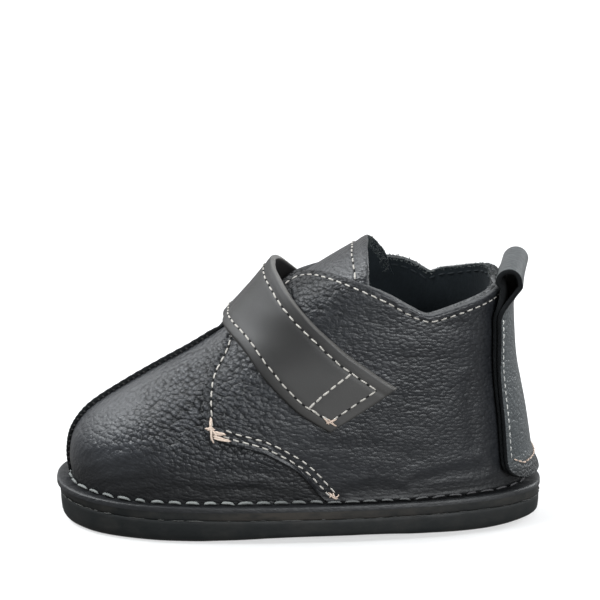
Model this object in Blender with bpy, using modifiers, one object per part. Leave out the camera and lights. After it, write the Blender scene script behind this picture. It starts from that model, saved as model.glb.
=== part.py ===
"""First walker boot, right foot: a soft leather ankle boot sewn out onto a rubber sole.

The toe points to -X, the heel to +X, the inner (medial) side to -Y, and the boot stands on Z = 0.
Sizes are in millimetres until a mesh is made.
"""

import bmesh
import bpy
import numpy as np

MM = 0.001

# Sole stack
SOLE_LENGTH = 132.0
SOLE_HALF_WIDTH = 26.7
SOLE_TAPER = 0.135
OUTSOLE_THICK = 6.5
MIDSOLE_THICK = 2.0
MIDSOLE_INSET = 0.5
OUTSOLE_EDGE_ROUND = 2.2
TOE_SPRING = 1.6
TOE_SPRING_START = -36.0
ARCH_RISE = 0.8
ARCH_FROM, ARCH_TO = 2.0, 34.0

# Leather and clearances
SEAT_GAP = 0.3
PLY_GAP = 0.4
WALL_THICK = 1.4
QUARTER_THICK = 1.2
TONGUE_THICK = 1.5
STRAP_THICK = 1.6
INSOLE_THICK = 2.0
STRIP_PLY = 1.3
STRIP_PLY_GAP = 0.2
STRIP_SEAT = 0.15

# Foot curve: the forefoot swings to the inner side, and the whole is centred on the origin
SWING = -2.0
SIDE_SHIFT = 0.6

# Heights that follow from the stack
MIDSOLE_BASE = OUTSOLE_THICK + SEAT_GAP
FLANGE_BASE = MIDSOLE_BASE + MIDSOLE_THICK + SEAT_GAP
CREASE_HEIGHT = FLANGE_BASE + WALL_THICK
QUARTER_OUT = PLY_GAP + QUARTER_THICK
OVERLAY_SEAT = QUARTER_OUT + PLY_GAP

# Horizontal sections of the upper, from the flange to above the tongue
UPPER_LEVELS = np.array(
    [
        (10.0, -61.6, 60.2, 24.3, 0.155, 2.45, 2.6),
        (18.0, -62.3, 58.7, 24.7, 0.145, 2.45, 2.6),
        (25.0, -60.7, 57.6, 24.6, 0.125, 2.40, 2.6),
        (30.0, -57.1, 56.8, 24.2, 0.100, 2.30, 2.6),
        (37.0, -47.1, 55.4, 23.4, 0.070, 2.20, 2.6),
        (43.0, -37.0, 54.2, 22.7, 0.040, 2.15, 2.6),
        (48.0, -28.2, 53.6, 22.0, 0.020, 2.10, 2.6),
        (53.5, -19.9, 53.2, 21.4, 0.000, 2.10, 2.6),
        (60.0, -12.0, 52.9, 20.7, 0.000, 2.10, 2.6),
        (67.0, -2.8, 52.8, 20.2, 0.000, 2.10, 2.6),
        (74.0, 8.2, 52.8, 19.4, 0.000, 2.10, 2.6),
        (82.0, 22.8, 52.8, 18.0, 0.000, 2.10, 2.6),
    ],
    dtype=[
        (column, float)
        for column in ("height", "front", "back", "half_width", "taper", "toe_power", "heel_power")
    ],
)

# Top line of the boot, from the throat corner to the heel; the outer side is lower at the throat
COLLAR = np.array(
    [
        (-6.0, 64.5, 59.5), (-4.0, 67.6, 61.5), (0.0, 70.4, 64.0), (11.0, 70.2, 66.6), (24.0, 66.8, 66.8),
        (31.0, 63.9, 65.0), (37.0, 62.4, 63.6), (44.0, 63.6, 65.0), (52.0, 65.6, 66.2), (56.0, 66.2, 66.2),
    ],
    dtype=[(column, float) for column in ("x", "inner", "outer")],
)

# Front edge of the quarter, as an angle from the toe line
QUARTER_FRONT = np.array(
    [(28.6, 64.5), (40.0, 52.0), (46.7, 38.0), (53.0, 22.0), (60.0, 17.0), (66.0, 13.6), (72.0, 12.0)],
    dtype=[("height", float), ("angle_deg", float)],
)

# Lower edge of the quarter, from the front corner down to the flange
QUARTER_LOWER = np.array(
    [(-27.6, 28.6), (-18.0, 27.2), (-10.7, 24.8), (0.3, 19.8), (8.0, 14.6), (12.0, 11.2)],
    dtype=[("x", float), ("height", float)],
)
QUARTER_CORNER = 0.1
QUARTER_CORNER_IN, QUARTER_CORNER_UP = 0.012, 0.03

THROAT_ANGLE = np.radians(22.0)
THROAT_FRONT_HEIGHT = 54.6
THROAT_BACK_HEIGHT = 42.0

# Strap edges on one side, from the instep to the sewn end, with how far each stands off its seat
STRAP_STATIONS = np.array(
    [
        (0, 0.0, 54.0, -1.1, 0.0, 67.4, 2.6),
        (1, 17.0, 53.4, -0.2, 13.0, 66.9, 2.2),
        (2, 34.0, 51.6, 0.0, 27.0, 65.8, 1.5),
        (3, 49.0, 48.6, 0.0, 41.0, 63.9, 0.8),
        (4, 67.0, 43.1, 0.0, 55.0, 61.0, 0.3),
        (5, 78.0, 39.0, 0.0, 69.5, 57.0, 0.1),
        (6, 86.0, 35.6, 0.0, 85.0, 51.9, 0.0),
        (7, 92.3, 33.3, 0.0, 98.4, 47.4, 0.0),
        (8, 98.0, 30.8, 0.0, 111.4, 42.4, 0.0),
    ],
    dtype=[
        (column, float)
        for column in (
            "station", "lower_deg", "lower_height", "lower_off", "upper_deg", "upper_height", "upper_off"
        )
    ],
)

# Tongue, tucked behind the throat
TONGUE_FOOT_HEIGHT = 47.0
TONGUE_TOP_HEIGHT = 79.9
TONGUE_INNER_DROP = 14.0
TONGUE_OUTER_DROP = 12.4
TONGUE_FOOT_ANGLE = np.radians(22.0)
TONGUE_TOP_ANGLE = np.radians(82.0)
TONGUE_TURN = 0.05

# Heel strip with its pull loop
STRIP_HALF_WIDTH = 10.1
STRIP_FOOT_HEIGHT = 14.4
STRIP_CORNER = 4.5
LOOP_NECK_HEIGHT = 62.6
LOOP_CENTRE_HEIGHT = 68.2
LOOP_RADIUS = 2.9
LOOP_OUT = 4.75
LOOP_HALF_WIDTH = 12.8
LOOP_SKEW = 1.2

# Raised centre seam of the vamp
SEAM_HALF_WIDTH = 1.3
SEAM_HEIGHT = 0.8
SEAM_FOOT_HEIGHT = 11.3
SEAM_TOP_HEIGHT = 51.0

LEATHER_BLACK = (0.018, 0.019, 0.020)
STRAP_BLACK = (0.030, 0.029, 0.028)
LINING_BLACK = (0.010, 0.014, 0.013)
RUBBER_BLACK = (0.013, 0.016, 0.016)
INSOLE_GREY = (0.060, 0.056, 0.050)


def clear_scene():
    for thing in list(bpy.data.objects):
        bpy.data.objects.remove(thing, do_unlink=True)


def smooth(table, key, column, at):
    """Value of a table's column, on a smooth curve through its rows."""
    keys, values = table[key], table[column]
    slopes = np.gradient(values, keys)
    at = np.clip(at, keys[0], keys[-1])
    row = np.clip(np.searchsorted(keys, at) - 1, 0, len(keys) - 2)
    span = keys[row + 1] - keys[row]
    f = (at - keys[row]) / span
    rise = f * f * (3 - 2 * f)
    lead = span * slopes[row] * f * (1 - f) ** 2
    trail = span * slopes[row + 1] * f * f * (f - 1)
    return values[row] + (values[row + 1] - values[row]) * rise + lead + trail


def toe_spring(x):
    """Rise of the sole under the toe."""
    toe = -SOLE_LENGTH / 2
    share = np.clip((TOE_SPRING_START - x) / (TOE_SPRING_START - toe), 0, 1)
    return TOE_SPRING * share**2


def egg(angle, front, back, half_width, taper, toe_power, heel_power):
    """Plan outline of a foot: angle 0 at the toe, 180 degrees at the heel, positive on the outer side."""
    c, s = np.cos(angle), np.sin(angle)
    power = toe_power + (heel_power - toe_power) * (1 - c) / 2
    reach = (np.abs(c) ** power + np.abs(s) ** power) ** (-1 / power)
    ahead = c * reach
    x = (front + back) / 2 - (back - front) / 2 * ahead
    swing = SWING * ((1 + ahead) / 2) ** 2 + SIDE_SHIFT
    y = half_width * s * reach * (1 + taper * ahead) + swing
    return x, y


def sole_outline(angle, inset=0.0):
    reach = SOLE_LENGTH / 2 - inset
    return egg(angle, -reach, reach, SOLE_HALF_WIDTH - inset, SOLE_TAPER, 2.45, 2.45)


def on_last(angle, height):
    """Point of the upper's outer face."""
    sizes = [smooth(UPPER_LEVELS, "height", name, height) for name in UPPER_LEVELS.dtype.names[1:]]
    x, y = egg(angle, *sizes)
    sinking = np.clip((30.0 - height) / 20.0, 0, 1)
    return np.stack([x, y, height + toe_spring(x) * sinking], axis=-1)


def wall(angle, height, out=0.0):
    """Point at a distance out from the upper's outer face, along its normal."""
    angle, height = np.broadcast_arrays(np.asarray(angle, float), np.asarray(height, float))
    step_angle, step_height = 0.002, 0.05
    across = on_last(angle + step_angle, height) - on_last(angle - step_angle, height)
    up = on_last(angle, height + step_height) - on_last(angle, height - step_height)
    normal = np.cross(up, across)
    normal /= np.linalg.norm(normal, axis=-1, keepdims=True)
    return on_last(angle, height) + normal * np.asarray(out, float)[..., None]


def height_on_line(angle, table, column):
    """Height where a column of the upper meets a line given as a table's height against x."""
    height = np.full_like(angle, 60.0)
    for _ in range(30):
        x = on_last(angle, height)[..., 0]
        height = 0.5 * height + 0.5 * smooth(table, "x", column, x)
    return height


def collar_height(angle):
    """Height of the top line: angles below zero are on the inner side."""
    inner = height_on_line(np.abs(angle), COLLAR, "inner")
    return np.where(angle < 0, inner, height_on_line(np.abs(angle), COLLAR, "outer"))


def quarter_front_angle(height):
    return np.radians(smooth(QUARTER_FRONT, "height", "angle_deg", height))


def material(name, colour, roughness):
    made = bpy.data.materials.new(name)
    made.use_nodes = True
    shader = made.node_tree.nodes["Principled BSDF"]
    shader.inputs["Base Color"].default_value = (*colour, 1.0)
    shader.inputs["Roughness"].default_value = roughness
    return made


def sheet(name, columns, rows, place, closed=False, keep=None):
    """An open surface: a flat grid whose corners are placed by a function of its shares along and up."""
    mesh = bpy.data.meshes.new(name)
    grid = bmesh.new()
    bmesh.ops.create_grid(grid, x_segments=columns, y_segments=rows, size=0.5)
    corners = list(grid.verts)
    along = np.array([corner.co.x + 0.5 for corner in corners])
    up = np.array([corner.co.y + 0.5 for corner in corners])
    if keep:
        middles = [(face, face.calc_center_median()) for face in grid.faces]
        gone = [face for face, middle in middles if not keep(middle.x + 0.5, middle.y + 0.5)]
        bmesh.ops.delete(grid, geom=gone, context="FACES")
    for corner, point in zip(corners, place(along, up)):
        if corner.is_valid:
            corner.co = point * MM
    if closed:
        bmesh.ops.remove_doubles(grid, verts=grid.verts, dist=1e-6)
    bmesh.ops.recalc_face_normals(grid, faces=grid.faces)
    grid.to_mesh(mesh)
    grid.free()
    return bpy.data.objects.new(name, mesh)


def face_outward(thing, inside):
    """Turns a sheet's faces away from a point inside the boot."""
    mesh = thing.data
    first = mesh.polygons[len(mesh.polygons) // 2]
    if first.normal.dot(first.center - inside) < 0:
        mesh.flip_normals()


def thicken(thing, thickness, side):
    """Gives a sheet its thickness: side 1 grows outward, -1 inward and 0 both ways."""
    shell = thing.modifiers.new("thickness", "SOLIDIFY")
    shell.thickness = thickness * MM
    shell.offset = side
    shell.use_even_offset = True
    shell.use_quality_normals = True


def finish(thing, collection, finish_material):
    thing.data.materials.append(finish_material)
    thing.data.shade_smooth()
    thing.data.set_sharp_from_angle(angle=np.radians(40.0))
    collection.objects.link(thing)


def ring_block(name, count, rings):
    """A closed block lofted through outlines of equal count, its ends closed by strips across."""
    mesh = bpy.data.meshes.new(name)
    block = bmesh.new()
    loops = [[block.verts.new(point * MM) for point in ring] for ring in rings]
    for lower, upper in zip(loops, loops[1:]):
        for i in range(count):
            j = (i + 1) % count
            block.faces.new((lower[i], lower[j], upper[j], upper[i]))
    for loop in (loops[0], loops[-1]):
        for i in range(count // 2):
            far = -i % count
            corners = dict.fromkeys((loop[i], loop[i + 1], loop[count - i - 1], loop[far]))
            block.faces.new(list(corners))
    bmesh.ops.recalc_face_normals(block, faces=block.faces)
    block.to_mesh(mesh)
    block.free()
    return bpy.data.objects.new(name, mesh)


def sole_ring(count, inset, height):
    """Outline of the sole at a height, raised by the toe spring."""
    angle = np.linspace(0, 2 * np.pi, count, endpoint=False)
    x, y = sole_outline(angle, inset)
    return np.stack([x, y, height + toe_spring(x)], axis=-1)


def arch(x):
    """Rise of the tread under the waist."""
    share = np.clip((x - ARCH_FROM) / (ARCH_TO - ARCH_FROM), 0, 1)
    return ARCH_RISE * np.sin(np.pi * share) ** 2


def make_outsole():
    count = 72
    turn = np.radians([0.0, 45.0, 90.0])
    insets = OUTSOLE_EDGE_ROUND * (1 - np.sin(turn)) + 0.3
    heights = OUTSOLE_EDGE_ROUND * (1 - np.cos(turn))
    rings = [sole_ring(count, inset, height) for inset, height in zip(insets, heights)]
    rings[0][:, 2] += arch(rings[0][:, 0])
    rings.append(sole_ring(count, 0.0, OUTSOLE_THICK - 1.0))
    rings.append(sole_ring(count, 0.35, OUTSOLE_THICK))
    return ring_block("outsole", count, rings)


def make_midsole():
    count = 72
    levels = [(MIDSOLE_INSET + 0.3, 0.0), (MIDSOLE_INSET, 0.4), (MIDSOLE_INSET, 1.6), (MIDSOLE_INSET + 0.3, 2.0)]
    rings = [sole_ring(count, inset, MIDSOLE_BASE + rise) for inset, rise in levels]
    return ring_block("midsole", count, rings)


def make_insole():
    count = 56
    angle = np.linspace(0, 2 * np.pi, count, endpoint=False)
    inner = wall(angle, CREASE_HEIGHT, -(WALL_THICK + 0.6))
    rings = []
    for inset, rise in ((0.5, 0.0), (0.0, 0.5), (0.0, INSOLE_THICK - 0.5), (0.6, INSOLE_THICK)):
        centre = inner.mean(axis=0)
        shrink = 1 - inset / np.linalg.norm(inner - centre, axis=-1, keepdims=True)
        ring = centre + (inner - centre) * shrink
        ring[:, 2] = FLANGE_BASE + rise + toe_spring(ring[:, 0])
        rings.append(ring)
    return ring_block("insole", count, rings)


QUARTER_COLUMNS, THROAT_COLUMNS = 28, 8
FLANGE_ROWS, VAMP_ROWS, COLLAR_ROWS = 1, 9, 5


def upper_angle(along, height):
    """Angle of an upper column: the inner quarter, then the throat, then the outer quarter."""
    columns = 2 * QUARTER_COLUMNS + THROAT_COLUMNS
    step = along * columns
    edge = np.where(height > 53.0, quarter_front_angle(height), THROAT_ANGLE)
    inner = -np.pi + (np.pi - edge) * step / QUARTER_COLUMNS
    throat = edge * (2 * (step - QUARTER_COLUMNS) / THROAT_COLUMNS - 1)
    outer = edge + (np.pi - edge) * (step - QUARTER_COLUMNS - THROAT_COLUMNS) / QUARTER_COLUMNS
    in_throat = np.abs(step - columns / 2) <= THROAT_COLUMNS / 2 + 1e-6
    return np.where(in_throat, throat, np.where(step < columns / 2, inner, outer))


def throat_level(angle):
    """Height of the row that ends the vamp at the throat and runs on round the quarters."""
    return THROAT_BACK_HEIGHT + (THROAT_FRONT_HEIGHT - THROAT_BACK_HEIGHT) * ((1 + np.cos(angle)) / 2) ** 1.2


def place_upper(along, up):
    rows = FLANGE_ROWS + VAMP_ROWS + COLLAR_ROWS
    row = up * rows
    angle = upper_angle(along, np.full_like(along, CREASE_HEIGHT))
    for _ in range(40):
        vamp_share = np.clip((row - FLANGE_ROWS) / VAMP_ROWS, 0, 1)
        collar_share = np.clip((row - FLANGE_ROWS - VAMP_ROWS) / COLLAR_ROWS, 0, 1)
        level, top = throat_level(angle), collar_height(angle)
        height = CREASE_HEIGHT + (level - CREASE_HEIGHT) * vamp_share + (top - level) * collar_share
        angle = 0.5 * angle + 0.5 * upper_angle(along, height)
    points = wall(angle, height)
    x, y = sole_outline(angle)
    rim = np.stack([x, y, CREASE_HEIGHT + toe_spring(x)], axis=-1)
    return np.where((row < FLANGE_ROWS / 2)[:, None], rim, points)


def keep_upper(along, up):
    """The throat is open above the vamp."""
    columns = 2 * QUARTER_COLUMNS + THROAT_COLUMNS
    in_throat = abs(along * columns - columns / 2) < THROAT_COLUMNS / 2
    rows = FLANGE_ROWS + VAMP_ROWS + COLLAR_ROWS
    return not (in_throat and up * rows > FLANGE_ROWS + VAMP_ROWS)


def make_upper():
    columns = 2 * QUARTER_COLUMNS + THROAT_COLUMNS
    rows = FLANGE_ROWS + VAMP_ROWS + COLLAR_ROWS
    return sheet("upper", columns, rows, place_upper, closed=True, keep=keep_upper)


def quarter_patch(along, up, side):
    """Angle and height on one quarter: along runs from the heel to its front edge, up to the collar."""
    near_front = np.clip((along - 1 + QUARTER_CORNER) / QUARTER_CORNER, 0, 1)
    rounding = (near_front * np.clip((QUARTER_CORNER - up) / QUARTER_CORNER, 0, 1)) ** 2
    along, up = along - QUARTER_CORNER_IN * rounding, up + QUARTER_CORNER_UP * rounding
    back = np.pi - 0.02
    corner = quarter_front_angle(QUARTER_FRONT["height"][0])
    corner_top = 66.0
    for _ in range(20):
        corner_top = collar_height(side * quarter_front_angle(np.array([corner_top])))[0]
    corner_top_angle = quarter_front_angle(corner_top)
    low_angle = back - (back - corner) * along
    top_angle = back - (back - corner_top_angle) * along
    low = np.maximum(height_on_line(low_angle, QUARTER_LOWER, "height"), CREASE_HEIGHT + 0.5)
    height = low + (collar_height(side * top_angle) - low) * up
    angle = low_angle + (top_angle - low_angle) * up
    straight = corner + (corner_top_angle - corner) * up
    return side * (angle + (quarter_front_angle(height) - straight) * along**4), height


def make_quarter(name, side):
    def place(along, up):
        return wall(*quarter_patch(along, up, side), PLY_GAP)

    return sheet(name, 28, 11, place)


def make_tongue():
    def place(along, up):
        across = 2 * along - 1
        angle = (across + TONGUE_TURN * up * across**2) * (TONGUE_FOOT_ANGLE + (TONGUE_TOP_ANGLE - TONGUE_FOOT_ANGLE) * up)
        drop = np.where(across < 0, TONGUE_INNER_DROP, TONGUE_OUTER_DROP)
        top = TONGUE_TOP_HEIGHT - drop * across**2
        return wall(angle, TONGUE_FOOT_HEIGHT + (top - TONGUE_FOOT_HEIGHT) * up, -(WALL_THICK + PLY_GAP))

    return sheet("tongue", 14, 10, place)


def make_strap():
    def place(along, up):
        across = 2 * along - 1
        station = np.abs(across) * STRAP_STATIONS["station"][-1]
        at = {name: smooth(STRAP_STATIONS, "station", name, station) for name in STRAP_STATIONS.dtype.names}
        angle = np.radians(at["lower_deg"] + (at["upper_deg"] - at["lower_deg"]) * up)
        height = at["lower_height"] + (at["upper_height"] - at["lower_height"]) * up
        off = at["lower_off"] * (1 - up) ** 2 + at["upper_off"] * up**2
        return wall(np.sign(across) * angle, height, OVERLAY_SEAT + off)

    return sheet("strap", 32, 4, place)


def strip_path(share):
    """Distance out from the upper and height along the folded strip: up inside, round the loop, down outside."""
    inner = OVERLAY_SEAT + STRIP_SEAT + STRIP_PLY / 2
    outer = inner + STRIP_PLY + STRIP_PLY_GAP
    neck_share = 0.36
    rising = np.clip(share / neck_share, 0, 1) ** 1.5
    falling = 1 - (1 - np.clip((share - (1 - neck_share)) / neck_share, 0, 1)) ** 1.5
    turn = np.clip((share - neck_share) / (1 - 2 * neck_share), 0, 1)
    bearing = np.radians(222.0 - 264.0 * turn)
    out = LOOP_OUT + LOOP_RADIUS * np.cos(bearing)
    height = LOOP_CENTRE_HEIGHT + LOOP_RADIUS * np.sin(bearing)
    run = LOOP_NECK_HEIGHT - STRIP_FOOT_HEIGHT
    out = np.where(rising < 1, inner, np.where(falling > 0, outer, out))
    height = np.where(rising < 1, STRIP_FOOT_HEIGHT + run * rising, height)
    height = np.where(falling > 0, LOOP_NECK_HEIGHT - run * falling, height)
    return out, height


def make_heel_strip():
    def place(along, up):
        across = 2 * up - 1
        out, height = strip_path(along)
        corner = np.clip((STRIP_FOOT_HEIGHT + STRIP_CORNER - height) / STRIP_CORNER, 0, 1)
        half_width = STRIP_HALF_WIDTH - STRIP_CORNER * (1 - np.sqrt(np.clip(1 - corner**2, 0, 1)))
        body_height = np.minimum(height, LOOP_CENTRE_HEIGHT)
        breadth = smooth(UPPER_LEVELS, "height", "half_width", body_height)
        breadth = breadth * (1 - smooth(UPPER_LEVELS, "height", "taper", body_height))
        angle = np.pi - across * half_width / breadth
        around = wall(angle, body_height, out)
        centre = wall(np.full_like(angle, np.pi), body_height, out)
        skew = LOOP_SKEW * across * np.clip((height - 65.0) / 3.0, 0, 1)
        bar = np.stack([skew, LOOP_HALF_WIDTH * across, 0 * across], axis=-1)
        straight = centre + bar
        flat = np.clip((height - 59.0) / 8.0, 0, 1)
        points = around + (straight - around) * flat[:, None]
        points[:, 2] += height - body_height
        return points

    return sheet("heel_strip", 46, 8, place)


def make_toe_seam():
    def place(along, up):
        across = 2 * up - 1
        height = SEAM_FOOT_HEIGHT + (SEAM_TOP_HEIGHT - SEAM_FOOT_HEIGHT) * along
        breadth = smooth(UPPER_LEVELS, "height", "half_width", height)
        return wall(across * SEAM_HALF_WIDTH / breadth, height, PLY_GAP)

    return sheet("toe_seam", 30, 4, place)


def build():
    clear_scene()
    boot = bpy.data.collections.new("first_walker_boot")
    bpy.context.scene.collection.children.link(boot)
    leather = material("pebbled_leather", LEATHER_BLACK, 0.45)
    smooth_leather = material("smooth_leather", STRAP_BLACK, 0.5)
    lining = material("tongue_leather", LINING_BLACK, 0.6)
    rubber = material("sole_rubber", RUBBER_BLACK, 0.6)
    footbed = material("footbed", INSOLE_GREY, 0.8)

    finish(make_outsole(), boot, rubber)
    finish(make_midsole(), boot, rubber)
    finish(make_insole(), boot, footbed)
    inside = bpy.data.objects["insole"].data.polygons[0].center.copy()
    inside.xyz = (0.02, 0.0, 0.03)
    shells = (
        (make_upper(), WALL_THICK, -1, leather),
        (make_quarter("quarter_medial", -1), QUARTER_THICK, 1, leather),
        (make_quarter("quarter_lateral", 1), QUARTER_THICK, 1, leather),
        (make_tongue(), TONGUE_THICK, -1, lining),
        (make_strap(), STRAP_THICK, 1, smooth_leather),
        (make_heel_strip(), STRIP_PLY, 0, smooth_leather),
        (make_toe_seam(), SEAM_HEIGHT, 1, leather),
    )
    for thing, thickness, side, look in shells:
        face_outward(thing, inside)
        thicken(thing, thickness, side)
        finish(thing, boot, look)


build()
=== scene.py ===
# %% [markdown]
# # A first walker boot
# The boot is a small right shoe of black leather: a pebbled vamp and quarters, a smooth strap, a folded
# heel strip with a pull loop, all sewn out onto a rubber sole. The plain solids come in as a fixed frame,
# and each step below lays a finely made piece over one of them, in the same place and size.

import bmesh
import bpy
import numpy as np
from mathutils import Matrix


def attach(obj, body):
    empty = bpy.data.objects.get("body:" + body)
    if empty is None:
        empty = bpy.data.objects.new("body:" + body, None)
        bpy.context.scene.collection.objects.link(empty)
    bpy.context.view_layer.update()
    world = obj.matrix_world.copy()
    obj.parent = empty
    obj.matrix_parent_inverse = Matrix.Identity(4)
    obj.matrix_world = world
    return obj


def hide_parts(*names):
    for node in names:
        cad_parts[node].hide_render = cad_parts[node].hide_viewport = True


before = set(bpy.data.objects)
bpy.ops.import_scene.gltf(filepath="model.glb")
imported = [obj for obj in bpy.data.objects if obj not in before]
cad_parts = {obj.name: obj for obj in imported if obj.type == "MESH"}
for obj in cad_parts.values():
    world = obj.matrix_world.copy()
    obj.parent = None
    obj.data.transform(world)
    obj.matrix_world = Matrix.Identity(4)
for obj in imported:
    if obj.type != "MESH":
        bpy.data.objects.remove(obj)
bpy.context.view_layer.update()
MM = 0.001
dice = np.random.default_rng(12)
print("solids in the frame:", sorted(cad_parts))

# %% [markdown]
# ## The form of the foot
# Every piece of the boot lies on one last, so one function of an angle round the foot and a height gives
# them all. A table of level sections, joined by smooth curves, is easier to measure and mend than a
# sculpted mesh. Sizes are in millimetres, the toe points to -X and the inner side to -Y.

# %% Sections of the last
SOLE_LENGTH, SOLE_HALF_WIDTH, SOLE_TAPER, SOLE_POWER = 132.0, 26.7, 0.135, 2.45
TOE_SPRING, TOE_SPRING_START, SPRING_FADE = 1.6, -36.0, (30.0, 10.0)
SWING, SIDE_SHIFT = -2.0, 0.6
OUTSOLE_THICK, MIDSOLE_THICK = 6.5, 2.0
WALL_THICK, QUARTER_THICK, PLY_GAP, SEAT_GAP = 1.4, 1.2, 0.4, 0.3
MIDSOLE_BASE = OUTSOLE_THICK + SEAT_GAP
FLANGE_BASE = MIDSOLE_BASE + MIDSOLE_THICK + SEAT_GAP
CREASE_HEIGHT = FLANGE_BASE + WALL_THICK
QUARTER_OUT = PLY_GAP + QUARTER_THICK
OVERLAY_SEAT = QUARTER_OUT + PLY_GAP


def table(names, rows):
    return np.array(rows, dtype=[(name, float) for name in names.split()])


UPPER_LEVELS = table(
    "height front back half_width taper toe_power heel_power",
    [
        (10.0, -61.6, 60.2, 24.3, 0.155, 2.45, 2.6),
        (18.0, -62.3, 58.7, 24.7, 0.145, 2.45, 2.6),
        (25.0, -60.7, 57.6, 24.6, 0.125, 2.40, 2.6),
        (30.0, -57.1, 56.8, 24.2, 0.100, 2.30, 2.6),
        (37.0, -47.1, 55.4, 23.4, 0.070, 2.20, 2.6),
        (43.0, -37.0, 54.2, 22.7, 0.040, 2.15, 2.6),
        (48.0, -28.2, 53.6, 22.0, 0.020, 2.10, 2.6),
        (53.5, -19.9, 53.2, 21.4, 0.000, 2.10, 2.6),
        (60.0, -12.0, 52.9, 20.7, 0.000, 2.10, 2.6),
        (67.0, -2.8, 52.8, 20.2, 0.000, 2.10, 2.6),
        (74.0, 8.2, 52.8, 19.4, 0.000, 2.10, 2.6),
        (82.0, 22.8, 52.8, 18.0, 0.000, 2.10, 2.6),
    ],
)
print("the last has", len(UPPER_LEVELS), "sections up to", UPPER_LEVELS["height"][-1], "mm")


# %% Points on the last
def ramp(value, start, stop):
    """Share that grows from 0 at start to 1 at stop and stays flat beyond them."""
    return np.clip((value - start) / (stop - start), 0, 1)


def smooth(rows, key, column, at):
    """Value of a table's column, on a smooth curve through its rows."""
    keys, values = rows[key], rows[column]
    slopes = np.gradient(values, keys)
    at = np.clip(at, keys[0], keys[-1])
    row = np.clip(np.searchsorted(keys, at) - 1, 0, len(keys) - 2)
    span = keys[row + 1] - keys[row]
    f = (at - keys[row]) / span
    lead = span * slopes[row] * f * (1 - f) ** 2
    trail = span * slopes[row + 1] * f * f * (f - 1)
    return values[row] + (values[row + 1] - values[row]) * f * f * (3 - 2 * f) + lead + trail


def toe_spring(x):
    return TOE_SPRING * ramp(x, TOE_SPRING_START, -SOLE_LENGTH / 2) ** 2


def egg(angle, front, back, half_width, taper, toe_power, heel_power):
    """Plan outline of a foot: angle 0 at the toe, 180 degrees at the heel, positive on the outer side."""
    c, s = np.cos(angle), np.sin(angle)
    power = toe_power + (heel_power - toe_power) * (1 - c) / 2
    reach = (np.abs(c) ** power + np.abs(s) ** power) ** (-1 / power)
    ahead = c * reach
    x = (front + back) / 2 - (back - front) / 2 * ahead
    y = half_width * s * reach * (1 + taper * ahead) + SWING * ((1 + ahead) / 2) ** 2 + SIDE_SHIFT
    return x, y


def sole_outline(angle, inset=0.0):
    reach = SOLE_LENGTH / 2 - inset
    return egg(angle, -reach, reach, SOLE_HALF_WIDTH - inset, SOLE_TAPER, SOLE_POWER, SOLE_POWER)


def on_last(angle, height):
    sizes = [smooth(UPPER_LEVELS, "height", name, height) for name in UPPER_LEVELS.dtype.names[1:]]
    x, y = egg(angle, *sizes)
    return np.stack([x, y, height + toe_spring(x) * ramp(height, *SPRING_FADE)], axis=-1)


def outward(angle, height):
    """Unit normal of the last, from small steps along it and up it."""
    across = on_last(angle + 0.002, height) - on_last(angle - 0.002, height)
    up = on_last(angle, height + 0.05) - on_last(angle, height - 0.05)
    normal = np.cross(up, across)
    return normal / np.linalg.norm(normal, axis=-1, keepdims=True)


def wall(angle, height, out=0.0):
    """Point at a distance out from the last, along its normal."""
    angle, height = np.broadcast_arrays(np.asarray(angle, float), np.asarray(height, float))
    return on_last(angle, height) + outward(angle, height) * np.asarray(out, float)[..., None]


print("toe of the last at 18 mm:", on_last(np.array(0.0), np.array(18.0)).round(1))

# %% [markdown]
# ## Edges of the panels
# A pattern cutter draws the top line and the edges of the quarter on the side of the last. They are short
# tables of places on the boot's side view, and a search up each column of the last finds where the column
# meets the line. The lines are found once at fine steps, and each piece reads them from there.

# %% Top line and quarter edges
COLLAR = table(
    "x inner outer",
    [
        (-6.0, 64.4, 59.5), (-4.0, 67.0, 61.5), (0.0, 69.2, 64.0), (5.0, 70.6, 65.4), (11.0, 70.9, 66.4),
        (24.0, 66.9, 67.4), (30.0, 63.4, 66.3), (34.2, 61.5, 64.2), (36.2, 61.9, 63.1), (38.6, 62.5, 64.1),
        (44.0, 63.9, 65.3), (49.0, 65.0, 66.8), (52.0, 65.6, 67.8), (56.0, 66.4, 69.0),
    ],
)
QUARTER_FRONT = table(
    "height angle_deg",
    [
        (28.4, 66.8), (34.0, 61.0), (39.6, 52.4), (45.8, 40.0), (50.1, 31.0),
        (53.0, 22.0), (60.0, 17.0), (66.0, 13.6), (72.0, 12.0),
    ],
)
QUARTER_LOWER = table(
    "x height",
    [
        (-25.2, 28.4), (-18.7, 27.1), (-13.2, 26.0), (-8.8, 24.6), (-4.3, 22.2),
        (-0.3, 19.7), (2.9, 16.5), (5.8, 12.9), (7.6, 11.0),
    ],
)
TURN = np.linspace(0, np.pi, 721)
SIDES, SEARCH_ROUNDS, HEEL_BLEND = (-1, 1), 40, 0.3


def height_on_line(rows, column):
    height = np.full_like(TURN, 60.0)
    for _ in range(SEARCH_ROUNDS):
        height = 0.5 * height + 0.5 * smooth(rows, "x", column, on_last(TURN, height)[..., 0])
    return height


TOP_LINE = {-1: height_on_line(COLLAR, "inner"), 1: height_on_line(COLLAR, "outer")}
LOWER_LINE = np.maximum(height_on_line(QUARTER_LOWER, "height"), CREASE_HEIGHT + 0.5)


def collar_height(angle):
    inner, outer = (np.interp(np.abs(angle), TURN, TOP_LINE[side]) for side in SIDES)
    at_heel = 0.5 * ramp(np.abs(angle), np.pi - HEEL_BLEND, np.pi)
    return np.where(angle < 0, inner + (outer - inner) * at_heel, outer + (inner - outer) * at_heel)


def quarter_front_angle(height):
    return np.radians(smooth(QUARTER_FRONT, "height", "angle_deg", height))


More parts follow.
